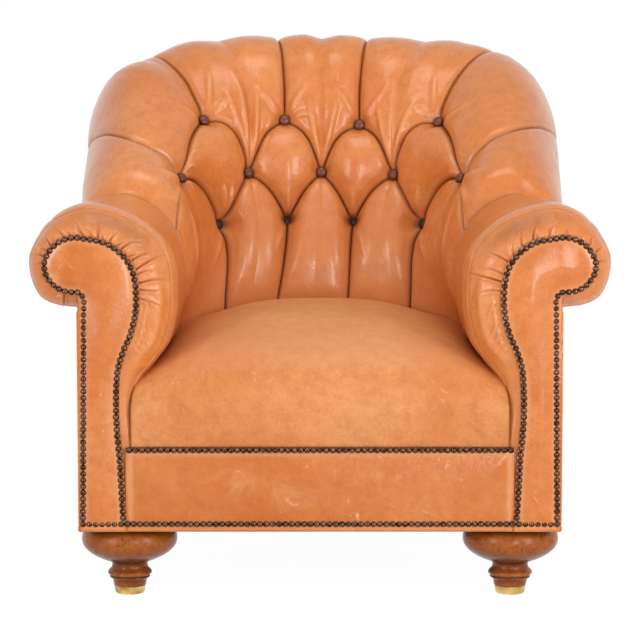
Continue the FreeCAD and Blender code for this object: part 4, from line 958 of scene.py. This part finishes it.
# Pleats gathered under the nails of each arm front: where they start round the scroll, how far
# they lean, how long they are as a share, and their depth in mm
gathers = {
    "left": [
        (5.02, -0.36, 0.56, 2.4), (5.3, -0.16, 0.42, 3.2), (5.52, -0.2, 0.62, 3.8), (5.86, -0.26, 0.4, 2.6),
        (6.02, -0.1, 0.66, 4.0), (6.34, -0.26, 0.5, 4.0), (6.5, -0.34, 0.34, 2.4), (6.8, -0.34, 0.48, 3.8),
        (6.98, -0.24, 0.28, 2.8), (7.24, -0.12, 0.34, 3.6), (7.42, 0.16, 0.24, 2.2), (7.62, 0.1, 0.36, 3.4),
        (7.84, 0.2, 0.26, 2.4), (8.06, 0.22, 0.34, 3.2), (8.34, 0.26, 0.28, 2.8), (8.58, 0.28, 0.36, 3.0),
        (8.84, 0.2, 0.24, 2.2), (9.08, 0.26, 0.4, 3.2), (9.4, 0.22, 0.34, 2.8), (9.68, 0.16, 0.44, 3.2),
        (10.0, 0.14, 0.34, 2.6),
        (10.6, 0.04, 0.3, 1.8), (11.62, 0.05, 0.98, 3.6),
    ],
    "right": [
        (5.24, -0.16, 0.4, 2.2), (5.58, -0.1, 0.72, 4.0), (5.86, -0.18, 0.44, 2.6), (6.3, -0.22, 0.5, 3.8),
        (6.52, 0.36, 0.3, 2.4), (6.9, 0.3, 0.36, 3.0), (7.3, 0.34, 0.44, 3.6), (7.44, 0.1, 0.22, 2.2),
        (7.84, 0.2, 0.36, 2.8), (8.34, -0.04, 0.3, 2.6), (8.66, 0.06, 0.22, 2.0), (9.1, 0.02, 0.4, 2.6),
        (9.46, 0.12, 0.48, 3.0), (9.9, 0.14, 0.4, 2.8), (10.3, 0.1, 0.28, 2.0), (10.9, 0.06, 0.24, 1.4),
    ],
}
# Long soft pulls down the inner side of the fronts: places, then height and width in mm
pulls = [
    ((5.6, 0.34), (5.0, 0.4), (4.2, 0.4), (3.4, 0.34), (2.6, 0.26), 2.2, 10.0),
    ((5.3, 0.14), (4.7, 0.18), (4.0, 0.18), (3.2, 0.14), 1.6, 4.5),
    ((4.92, 0.14), (4.7, 0.24), (4.36, 0.36), 1.8, 3.4),
    ((4.52, 0.12), (4.22, 0.26), (3.9, 0.42), 2.2, 3.4),
    ((4.28, 0.14), (4.02, 0.24), (3.76, 0.34), 1.8, 3.0),
    ((3.98, 0.12), (3.7, 0.25), (3.36, 0.4), 2.2, 3.6),
    ((3.62, 0.14), (3.4, 0.22), (3.18, 0.3), 1.4, 3.0),
    ((5.6, 0.52), (5.2, 0.62), (4.6, 0.7), 1.6, 9.0),
]
# How the scroll fills out against its solid: place round it, and lift
scrollFullness = [
    (0.0, 0.0028), (1.8, 0.0028), (3.0, 0.0), (8.0, 0.0), (8.6, -0.006), (9.0, -0.01), (9.5, -0.005),
    (10.0, 0.005), (10.5, 0.01), (11.0, 0.014), (11.5, 0.012), (12.0, 0.006),
]
gatherLook = {"valley": 0.0013, "shoulder": 0.0034, "spread": 0.0023, "puff": 0.66, "curl": 0.04,
              "reach": 0.012, "darkDepth": 0.0055}


def armPath(places, count=18):
    return armSpot(*evenCurve(places, count).T)


def gatherLift(points, side):
    # Narrow valleys that fade away from the nails, each between two puffed shoulders
    look = gatherLook
    lift, dark = np.zeros(len(points)), np.zeros(len(points))
    for start, leanIt, length, depth in gathers[side]:
        depth /= 1000
        curl = look["curl"] * math.sin(40 * start)
        path = armPath([(start, 0.0), (start + leanIt * 0.4 + curl, length * 0.5), (start + leanIt, length)])
        low, high = path.min(0) - look["reach"], path.max(0) + look["reach"]
        near = np.all((points > low) & (points < high), axis=1)
        gap, share = pathDistance(points[near], path)
        fade = (1 - share) ** 0.8
        valley = fade * bell(gap, look["valley"] * (0.7 + share))
        sides = fade * bell(gap - look["shoulder"], look["spread"])
        lift[near] += depth * (look["puff"] * sides - valley)
        # painted shade in each valley
        dark[near] = np.maximum(dark[near], valley * depth / look["darkDepth"])
    return lift, dark


def makeArmPiece(name, side, around, shares, seams, *replaced):
    # seams: which row of the net lies in a seam, how deep it dips and how dark its painted shade is
    at, share = np.meshgrid(np.linspace(0, lastSpot, around + 1), shares)
    shape = at.shape
    at, share = at.ravel(), share.ravel()
    base = armSpot(at, share)
    normal = surfaceNormal(armSpot, at, share, ((0, lastSpot), (0, 2)))
    lift, dark = gatherLift(base, side)
    ruck = foldLift(base, [(armPath(places), height / 1000, width / 1000)
                           for *places, height, width in pulls])
    lift += ruck
    strength, middle, roundReach, depth, alongReach = armLook["patina"]
    dark = np.maximum(dark, strength * bell(at - middle, roundReach) * bell(share - depth, alongReach))
    net = base.reshape(*shape, 3)
    reach, lineWide, start, whole = armLook["seam"]
    for row, dip, darkness in seams:
        gap = edgeGaps(base, [net[row]])[0]
        lift = lift * np.minimum(gap / reach, 1) - dip * (1 - quarterRound(gap / reach))
        dark = np.maximum(dark, np.exp(-gap / lineWide) * darkness * ramp(at, start, whole))
    full = np.interp(at, *zip(*scrollFullness))
    lost = np.where(full < 0, *armLook["fullnessLost"])
    lift += full * ramp(share, 0, 0.8) * (1 - lost * ramp(share, 1, 2))
    flip = np.array([1.0 if side == "right" else -1.0, 1.0, 1.0])
    outer = (base + normal * lift[:, None]) * flip
    inner = armSpot(at, share, armLook["padDepth"]) * flip
    # Painted highlights on the pulls' ridges; the edge at the nails is partly pulled paler, partly a painted
    # highlight
    (pullRidgeHighlight, wholeAt), (nailEdgePaleAndHighlight, wide) = armLook["pullRidgeHighlight"], armLook["nailEdgePaleAndHighlight"]
    rub = pullRidgeHighlight * np.clip(ruck / wholeAt, 0, 1) + nailEdgePaleAndHighlight * np.exp(-share / wide)
    piece = makePiece(name, *closedSlab(outer, inner, shape), fold=dark, rub=rub)
    dress(piece, "waxedCaramelLeather", "tan_leather", *replaced)


wrapShares = armLook["seamShare"] * np.linspace(0, 1, armLook["wrapRows"] + 1) ** 1.1
rollShares = np.linspace(armLook["seamShare"], 2, armLook["rollRows"] + 1)
for side in ("left", "right"):
    makeArmPiece(f"armFrontGather_{side}", side, armLook["wrapRound"], wrapShares, [(-1, 0.002, 0.34)],
                 f"arm_front_wrap_{side}")
    makeArmPiece(f"armRoll_{side}", side, armLook["rollRound"], rollShares,
                 [(0, 0.002, 0.34), (-1, 0.0012, 0.4)], f"arm_cover_{side}", f"arm_pad_{side}")
print("arms made")


# Front facings and border: leather over boards

boardLook = {
    "spacing": 0.0045,
    "rings": (0.0008, 0.002),
    "edgeRound": 0.0013,
    "swell": 0.0072,
    "swellReach": 0.02,
    "nailDip": (0.0007, 0.004),
    "crownReach": 0.012,
    # painted shade at the edge, and a paler band inside the nails, partly pulled leather and partly a painted
    # highlight: strength, place and width
    "edgeShade": (0.3, 0.001),
    "rub": (0.5, 0.003, 0.005),
    "facingNails": 0.006,
    "borderNails": 0.005,
    # the border lies a little deeper than the facings, darker, and its ends run under them
    "borderSet": {"setback": 0.001, "darker": 0.05, "under": 0.0028},
    # the turned hem: its height over the base, then lift and width of its ridge and of its groove
    "hem": (0.0095, (0.004, 0.001, 0.0035), (0.0, -0.0012, 0.001)),
    # fuller places: x, height, width, tallness and lift
    "crowns": [(-0.356, 0.455, 0.026, 0.06, 0.004), (0.348, 0.52, 0.024, 0.05, 0.003),
               (-0.372, 0.25, 0.02, 0.08, 0.0012), (0.366, 0.28, 0.02, 0.08, 0.0012)],
    # worn places: x, height, width, tallness and strength
    "worn": [(-0.15, 0.205, 0.08, 0.018, 0.55), (-0.045, 0.18, 0.09, 0.018, 0.5),
             (0.13, 0.215, 0.08, 0.01, 0.4), (-0.43, 0.59, 0.012, 0.02, 0.9),
             (-0.44, 0.545, 0.01, 0.012, 0.8), (0.42, 0.6, 0.02, 0.01, 0.6),
             (-0.33, 0.38, 0.02, 0.05, 0.4), (0.35, 0.3, 0.02, 0.06, 0.4)],
}


def roundRun(points, count=10):
    # Arcs through every second point of a list, as rows of points
    found = []
    for i in range(0, len(points) - 2, 2):
        a, b, c = (np.array(p, float) for p in points[i:i + 3])
        t = np.linspace(0, 1, count + 1)[:-1, None]
        cross = (b - a)[0] * (c - b)[1] - (b - a)[1] * (c - b)[0]
        if abs(cross) < 1e-3 * ((c - a) ** 2).sum():
            found.append(a + (c - a) * t)
            continue
        d = 2 * (a[0] * (b[1] - c[1]) + b[0] * (c[1] - a[1]) + c[0] * (a[1] - b[1]))
        sa, sb, sc = (a ** 2).sum(), (b ** 2).sum(), (c ** 2).sum()
        centre = np.array([(sa * (b[1] - c[1]) + sb * (c[1] - a[1]) + sc * (a[1] - b[1])) / d,
                           (sa * (c[0] - b[0]) + sb * (a[0] - c[0]) + sc * (b[0] - a[0])) / d])
        angles = [math.atan2(*(p - centre)[::-1]) for p in (a, b, c)]
        turnIt = angles[2] - angles[0]
        way = 1 if cross > 0 else -1
        turnIt = turnIt % (2 * math.pi) if way > 0 else -((-turnIt) % (2 * math.pi))
        radius = np.linalg.norm(a - centre)
        spread = angles[0] + turnIt * t[:, 0]
        found.append(centre + radius * np.stack([np.cos(spread), np.sin(spread)], -1))
    return np.concatenate(found + [np.array([points[-1]], float)])


def spreadAlong(outline, spacing):
    # Even points along a closed outline, its sharp corners kept
    closed = np.concatenate([outline, outline[:1]])
    found = []
    for a, b in zip(closed, closed[1:]):
        count = max(1, int(round(np.linalg.norm(b - a) / spacing)))
        found.append(a + (b - a) * np.arange(count)[:, None] / count)
    return np.concatenate(found)


def insideGrid(outline, step):
    # Staggered rows of points inside a closed outline
    closed = np.concatenate([outline, outline[:1]])
    a, b = closed[:-1], closed[1:]
    low, high = outline.min(0), outline.max(0)
    xs = np.arange(low[0], high[0], step)
    found = []
    for row, z in enumerate(np.arange(low[1], high[1], step * 0.87)):
        line = np.stack([xs + (row % 2) * step / 2, np.full(len(xs), z)], -1)
        spans = (a[:, 1] > z) != (b[:, 1] > z)
        rise = np.where(spans, b[:, 1] - a[:, 1], 1)
        crossing = a[:, 0] + (z - a[:, 1]) / rise * (b[:, 0] - a[:, 0])
        hits = (spans & (line[:, :1] < crossing)).sum(1)
        found.append(line[hits % 2 == 1])
    found = np.concatenate(found)
    return found[pathDistance(found, closed)[0] > step * 0.8]


def boardNet(outline):
    # Triangles that fill an outline, finer along its edge, with the edge's own pairs of points
    closed = np.concatenate([outline, outline[:1]])
    after = np.roll(outline, -1, 0)
    ahead = after - np.roll(outline, 1, 0)
    ahead /= np.linalg.norm(ahead, axis=1, keepdims=True)
    area = (outline[:, 0] * after[:, 1] - outline[:, 1] * after[:, 0]).sum()
    inward = np.stack([-ahead[:, 1], ahead[:, 0]], -1) * np.sign(area)
    rings = []
    for inset in boardLook["rings"]:
        ring = outline + inward * inset
        rings.append(ring[pathDistance(ring, closed)[0] > inset * 0.8])
    flat = np.concatenate([outline] + rings + [insideGrid(outline, boardLook["spacing"])])
    count = len(outline)
    border = [(i, (i + 1) % count) for i in range(count)]
    made = geometry.delaunay_2d_cdt([Vector(p) for p in flat], border, [list(range(count))], 1, 1e-7)
    triangles = [list(f) for f in made[2]]
    rim = set()
    for a, b, c in triangles:
        for pair in ((a, b), (b, c), (c, a)):
            rim.symmetric_difference_update([tuple(sorted(pair))])
    return np.array([tuple(p) for p in made[0]]), triangles, rim


def patches(flat, table):
    # Soft oval places: x, height, width, tallness and amount
    return sum(amount * bell(flat[:, 0] - x, wide) * bell(flat[:, 1] - z, tall)
               for x, z, wide, tall, amount in table)


def makeBoard(name, outline, front, nailInset, replaced, darker=0.0):
    outline = spreadAlong(outline, boardLook["spacing"])
    flat, triangles, rim = boardNet(outline)
    gap = pathDistance(flat, np.concatenate([outline, outline[:1]]))[0]
    inside = np.maximum(gap - nailInset, 0)
    edge = boardLook["edgeRound"]
    dip, dipWide = boardLook["nailDip"]
    y = front + edge * (1 - quarterRound(gap / edge)) + dip * bell(gap - nailInset, dipWide)
    y -= boardLook["swell"] * (1 - np.exp(-inside / boardLook["swellReach"]))
    y -= (1 - np.exp(-inside / boardLook["crownReach"])) * patches(flat, boardLook["crowns"])
    hemHeight, *hemForms = boardLook["hem"]
    for below, lift, wide in hemForms:
        y -= lift * bell(flat[:, 1] - (chair["footHeight"] + hemHeight - below), wide)
    size = len(flat)
    faceSide = np.stack([flat[:, 0], y, flat[:, 1]], -1)
    rearSide = np.stack([flat[:, 0], np.full(size, chair["facingRear"]), flat[:, 1]], -1)
    faces = triangles + [[c + size, b + size, a + size] for a, b, c in triangles]
    faces += [[a, b, b + size, a + size] for a, b in rim]
    # Painted shade at the edge; a paler band inside the nails, partly pulled leather, partly a painted
    # highlight
    (dark, darkWide), (strength, place, wide) = boardLook["edgeShade"], boardLook["rub"]
    piece = makePiece(name, np.concatenate([faceSide, rearSide]), faces, 50,
                      fold=darker + dark * np.exp(-gap / darkWide),
                      rub=strength * bell(gap - nailInset - place, wide),
                      worn=patches(flat, boardLook["worn"]))
    dress(piece, "scuffedCaramelLeather", "tan_leather", replaced)


def facingOutline(side):
    margin, bottom = boardLook["facingNails"], chair["footHeight"]
    fore, nail = np.array(scrollFront) * scrollReal, np.array(scrollNails) * scrollReal
    away = (fore - nail) / np.linalg.norm(fore - nail, axis=1, keepdims=True)
    curve = nail + margin * away
    neck = np.array([(0.981, 0.774), (0.981, 0.752)]) * scrollReal + [margin, -margin]
    foot = [[0.98 * chair["halfWidth"] + margin, bottom], [0.814 * chair["halfWidth"] - margin, bottom]]
    run = np.concatenate([roundRun(curve), roundRun([curve[-1], *neck])[1:], foot])
    return run if side == "right" else (run * [-1, 1])[::-1]


for side in ("left", "right"):
    makeBoard(f"armFacing_{side}", facingOutline(side), chair["facingFront"], boardLook["facingNails"],
              f"arm_facing_{side}")
low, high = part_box("front_border")
borderSet = boardLook["borderSet"]
half = high.x + borderSet["under"]
borderOutline = np.array([(-half, low.z), (half, low.z), (half, high.z), (-half, high.z)])
makeBoard("frontBorder", borderOutline, low.y + borderSet["setback"], boardLook["borderNails"],
          "front_border", borderSet["darker"])
print("facings and border made")


# Domed nails

nailLook = {
    "radius": 0.0054,
    "dome": 0.0048,
    "segments": 12,
    "rings": 8,
    # how far the nails stray, and how much their size varies
    "jitter": 0.00012,
    "sizeJitter": 0.012,
    "pieces": {"armNails_left": "arm_nails_left", "armNails_right": "arm_nails_right",
               "baseNails": "base_nails", "seatNails": "seat_nails"},
}


def makeNails():
    bpy.ops.object.select_all(action="DESELECT")
    bpy.ops.mesh.primitive_uv_sphere_add(segments=nailLook["segments"], ring_count=nailLook["rings"],
                                         radius=nailLook["radius"])
    bpy.ops.object.mode_set(mode="EDIT")
    bpy.ops.mesh.select_all(action="SELECT")
    bpy.ops.mesh.bisect(plane_co=(0, 0, -0.0002), plane_no=(0, 0, 1), clear_inner=True, use_fill=True)
    bpy.ops.mesh.select_all(action="SELECT")
    bpy.ops.transform.resize(value=(1, 1, nailLook["dome"] / nailLook["radius"]))
    shape, polygons = takeShape()
    # The dome faces forwards
    shape = np.stack([shape[:, 0], -shape[:, 2], shape[:, 1]], -1)
    rng = np.random.default_rng(3)
    for name, node in nailLook["pieces"].items():
        corners = np.array([v.co for v in nodes[node].data.vertices])
        crowns = corners[corners[:, 1] < corners[:, 1].min() + 0.0003]
        points, faces = [], []
        for x, _, z in np.unique(np.round(crowns, 5), axis=0):
            spot = np.array([x, corners[:, 1].max(), z]) + rng.normal(0, nailLook["jitter"], 3) * [1, 0.6, 1]
            addCopy(points, faces, spot + shape * (1 + rng.normal(0, nailLook["sizeJitter"])), polygons)
        piece = makePiece(name, np.concatenate(points), faces, 60)
        dress(piece, "antiqueBronze", "antique_nail", node)


makeNails()
print("nails made")


# Outside arms and outside back

outsideLook = {
    "swell": 0.0025,
    "swellReach": 0.05,
    "depth": 0.0022,
    "edge": 0.004,
    "wrap": 0.007,
    # the share of the height over which the panels flare out to the tuck of the roll
    "flareFrom": 0.55,
    # the hem: height, lift and width of its ridge and of its groove
    "hem": ((0.006, 0.0008, 0.004), (0.012, -0.001, 0.001)),
}
corner = chair["baseCorner"]
sideRun = chair["baseRear"] - corner - chair["facingRear"]
cornerRun = corner * math.pi / 2
flatHalf = chair["halfWidth"] - corner
wholeRun = 2 * (sideRun + cornerRun + flatHalf)
tuckReach, tuckRise, tuckArmRise = backLines[-1][1:4]
rearTuck = (tuckReach * chair["halfDepth"], tuckRise * chair["backHeight"])
lean = (rearTuck[0] - chair["baseRear"]) / (rearTuck[1] - chair["footHeight"])


def tuckHeight(y):
    # The panels end just under the arm's roll, and rise behind to the tuck of the back's
    front = scrollFront[-1][1] * chair["armHeight"] - 0.004
    wing = tuckArmRise * chair["armHeight"] - 0.004
    return np.interp(y, [chair["facingRear"], chair["wingFront"], rearTuck[0]], [front, wing, rearTuck[1]])


def outsideSpot(run, height):
    # run: metres along the plan from the front of the right side; height: share from hem to tuck
    mirrored = run > wholeRun / 2
    run = np.where(mirrored, wholeRun - run, run)
    angle = np.clip((run - sideRun) / corner, 0, math.pi / 2)
    beside = run < sideRun
    x = np.where(beside, chair["halfWidth"],
                 flatHalf + corner * np.cos(angle) - np.maximum(run - sideRun - cornerRun, 0))
    z = np.full(len(run), 0.3)
    # The top depends on the reach and the reach on the height, so they are worked out in turns
    for _ in range(12):
        shift = lean * (z - chair["footHeight"])
        # on the straight side the points slide back with the lean, as the corner does
        y = np.where(beside, chair["facingRear"] + run + shift * np.clip(run / sideRun, 0, 1) ** 3,
                     chair["baseRear"] - corner + shift + corner * np.sin(angle))
        z = chair["footHeight"] + height * (tuckHeight(y) - chair["footHeight"])
    return np.stack([np.where(mirrored, -x, x), y, z], -1)


def makeOutside(name, first, last, columns, rows, replaced):
    run, height = np.meshgrid(np.linspace(first, last, columns + 1), graded(rows, 0.5))
    shape = run.shape
    run, height = run.ravel(), height.ravel()
    spot = outsideSpot(run, height)
    normal = surfaceNormal(outsideSpot, run, height, ((-np.inf, np.inf), (0, 1)))
    tuck = backSpot(np.linspace(-1, 1, 401), np.full(401, float(lastLine)))
    rim = spot.reshape(*shape, 3)[-1]
    toTuck = tuck[((rim[:, None] - tuck[None]) ** 2).sum(-1).argmin(1)] - rim
    toTuck *= ramp(rim[:, 1], chair["wingFront"], chair["wingFront"] + 0.1)[:, None]
    flare = ramp(height.reshape(shape), outsideLook["flareFrom"], 1)[..., None] * toTuck
    spot = spot + flare.reshape(-1, 3)
    net = spot.reshape(*shape, 3)
    sides = [net[0], net[-1]] + [net[:, k] for k, end in ((0, first), (-1, last)) if 0 < end < wholeRun]
    gap = softLeast(edgeGaps(spot, sides), 4.0)
    fromFront = np.minimum(run, wholeRun - run) + outsideLook["wrap"]
    lift = outsideLook["swell"] * (1 - np.exp(-np.minimum(gap, fromFront) / outsideLook["swellReach"]))
    lift -= outsideLook["edge"] / 2 * (1 - quarterRound(gap / outsideLook["edge"]))
    for place, rise, wide in outsideLook["hem"]:
        lift += rise * bell(spot[:, 2] - chair["footHeight"] - place, wide)
    slab = closedSlab(spot + normal * lift[:, None], spot - normal * outsideLook["depth"], shape)
    # painted shade along the panel's edges, where it meets the parts round it
    piece = makePiece(name, *slab, 55, fold=np.exp(-gap / 0.0015) * 0.6)
    dress(piece, "waxedCaramelLeather", "tan_leather", replaced)


makeOutside("outsideArm_right", -outsideLook["wrap"], sideRun, 90, 90, "outside_arm_right")
makeOutside("outsideArm_left", wholeRun - sideRun, wholeRun + outsideLook["wrap"], 90, 90, "outside_arm_left")
makeOutside("outsideBack", sideRun + chair["layerGap"], wholeRun - sideRun - chair["layerGap"], 200, 110,
            "outside_back")
print("outside panels made")


# Turned front feet: radius and height of each step of the turning, in mm, from the ferrule up
footTurning = [
    (25.5, 13.0), (27.3, 14.4), (28.0, 19.0), (29.4, 24.4), (31.2, 26.2), (33.6, 27.6), (34.4, 29.2),
    (33.2, 30.8), (34.4, 32.0), (37.2, 34.6), (37.6, 37.0), (36.0, 40.0), (33.0, 42.8), (30.8, 46.4),
    (30.2, 50.4), (31.2, 54.0), (36.0, 56.8), (43.0, 59.4), (52.0, 63.2), (61.0, 68.0), (69.0, 73.4),
    (75.4, 79.6), (79.4, 86.0), (81.0, 92.4), (81.0, 99.0), (79.4, 105.6), (76.0, 111.6), (71.0, 116.4),
    (65.0, 119.6),
]
footLook = {"segments": 56, "ringsPerStep": 2, "x": 0.324, "y": -0.37}
# Where painted shade darkens the turning, in its grooves and under the body: height in mm, and strength
footShade = [
    (13, 0.3), (18, 0.05), (24, 0.5), (26, 0.7), (28, 0.15), (30, 0.6), (31, 0.75), (34, 0.05), (38, 0.0),
    (43, 0.3), (50, 0.55), (57, 0.72), (64, 0.6), (74, 0.34), (86, 0.08), (98, 0.0), (108, 0.12), (119, 0.65),
]


def makeFeet():
    # A disc drawn up ring by ring, as on a lathe
    steps = np.array(footTurning) / 1000
    turning = evenCurve(steps, footLook["ringsPerStep"] * (len(steps) - 1) + 1)
    bpy.ops.object.select_all(action="DESELECT")
    bpy.ops.mesh.primitive_circle_add(vertices=footLook["segments"], radius=turning[0, 0], fill_type="NGON",
                                      location=(0, 0, turning[0, 1]))
    bpy.ops.object.transform_apply(location=True)
    bpy.ops.object.mode_set(mode="EDIT")
    bpy.ops.mesh.select_all(action="SELECT")
    for (radius, height), (nextRadius, nextHeight) in zip(turning, turning[1:]):
        bpy.ops.mesh.extrude_region_move(TRANSFORM_OT_translate={"value": (0, 0, nextHeight - height)})
        bpy.ops.transform.resize(value=(nextRadius / radius, nextRadius / radius, 1))
    shape, polygons = takeShape()
    stain = np.interp(shape[:, 2] * 1000, *zip(*footShade))
    for side, way in (("left", -1), ("right", 1)):
        piece = makePiece(f"turnedFoot_{side}", shape + [way * footLook["x"], footLook["y"], 0], polygons, 50,
                          stain=stain)
        dress(piece, "waxedWalnutBeech", "turned_wood", f"front_foot_{side}")


makeFeet()
print("feet made")


# Solids that keep their own mesh: slot and nodes of each finish. A name that is no node stands for
# its left and its right.
nodeFinishes = {
    "waxedWalnutBeech": ("turned_wood", "rear_leg"),
    "sawnBeech": ("frame_hardwood", "front_rail rear_rail side_rail arm_front_post arm_top_rail "
                                    "arm_tuck_rail wing_post wing_rail back_tuck_rail back_post "
                                    "corner_blocks"),
    "polishedBrass": ("polished_brass", "ferrule"),
    "oiledSteel": ("spring_steel", "seat_springs spring_edge_wire rear_glides hanger_bolts foot_plates"),
    "wovenJute": ("jute", "seat_webbing back_webbing seat_hessian back_hessian button_twines"),
    "cottonWadding": ("stuffing", "seat_edge_roll"),
    "blackLining": ("black_lining", "dust_cover"),
}
for material, (slot, names) in nodeFinishes.items():
    for name in names.split():
        for node in ([name] if name in nodes else [name + "_left", name + "_right"]):
            finish(nodes[node], material)
print("frame finished")


# Floor, background, lamps and camera

studio = {
    "floorColor": "#F4F4F2",
    "floorSize": 40,
    "floorGlow": 0.88,
    "glowStrength": 1.095,
    "ambient": 0.45,
    # place, width, height and power of each soft lamp
    "lamps": [
        ((-2.3, -2.9, 1.2), 0.85, 2.1, 36.0),
        ((2.4, -2.75, 1.2), 0.85, 2.1, 45.0),
        ((0.95, -3.9, 0.95), 0.42, 1.7, 29.0),
        ((0.0, -0.9, 3.1), 1.8, 1.2, 20.0),
    ],
    "aim": (0.0, -0.1, 0.5),
    "cameraPlace": (0.0, -4.5333, 0.8931),
    "cameraAim": (0.0, -0.46, 0.4762),
    "lens": 139.48,
    "sensorWidth": 36.0,
    "clipEnd": 100.0,
}


def seenDirectly(tree):
    # 1 where the surface is seen, straight or by reflection, and 0 where it only gives light
    rays = addNode(tree, "ShaderNodeLightPath").outputs
    seen = rays["Is Camera Ray"]
    for kind in ("Is Glossy Ray", "Is Transmission Ray"):
        seen = addNode(tree, "ShaderNodeMath", (seen, rays[kind]), operation="MAXIMUM").outputs[0]
    return seen


def makeFloor():
    bpy.ops.object.select_all(action="DESELECT")
    bpy.ops.mesh.primitive_plane_add(size=studio["floorSize"])
    floor = bpy.context.object
    floor.name = "floor"
    material = bpy.data.materials.new("paleStudioFloor")
    material.use_nodes = True
    tree = material.node_tree
    tree.nodes.clear()
    matt = addNode(tree, "ShaderNodeBsdfDiffuse", {"Color": hexColor(studio["floorColor"])})
    bright = addNode(tree, "ShaderNodeEmission", {"Color": (1, 1, 1, 1), "Strength": studio["glowStrength"]})
    share = addNode(tree, "ShaderNodeMath", (seenDirectly(tree), studio["floorGlow"]), operation="MULTIPLY")
    mixed = addNode(tree, "ShaderNodeMixShader", (share.outputs[0], matt.outputs[0], bright.outputs[0]))
    addNode(tree, "ShaderNodeOutputMaterial", {"Surface": mixed.outputs[0]})
    floor.data.materials.append(material)


def makeWorld():
    world = bpy.data.worlds.new("paleStudio")
    world.use_nodes = True
    tree = world.node_tree
    tree.nodes.clear()
    strength = addNode(tree, "ShaderNodeMapRange", (seenDirectly(tree), 0.0, 1.0, studio["ambient"], 1.0))
    sky = addNode(tree, "ShaderNodeBackground", {"Color": (1, 1, 1, 1), "Strength": strength.outputs[0]})
    addNode(tree, "ShaderNodeOutputWorld", {"Surface": sky.outputs[0]})
    bpy.context.scene.world = world


def placeAimed(data, place, aim):
    holder = bpy.data.objects.new(data.name, data)
    holder.location = place
    holder.rotation_euler = (Vector(aim) - Vector(place)).to_track_quat("-Z", "Y").to_euler()
    bpy.context.scene.collection.objects.link(holder)
    return holder


def makeLampsAndCamera():
    for place, width, height, power in studio["lamps"]:
        lamp = bpy.data.lights.new("softLamp", "AREA")
        lamp.shape = "RECTANGLE"
        lamp.size = width
        lamp.size_y = height
        lamp.energy = power
        placeAimed(lamp, place, studio["aim"])
    camera = bpy.data.cameras.new("photoCamera")
    camera.lens = studio["lens"]
    camera.sensor_width = studio["sensorWidth"]
    camera.clip_end = studio["clipEnd"]
    bpy.context.scene.camera = placeAimed(camera, studio["cameraPlace"], studio["cameraAim"])
    bpy.context.scene.view_settings.view_transform = "Standard"


makeFloor()
makeWorld()
makeLampsAndCamera()
print("studio made")
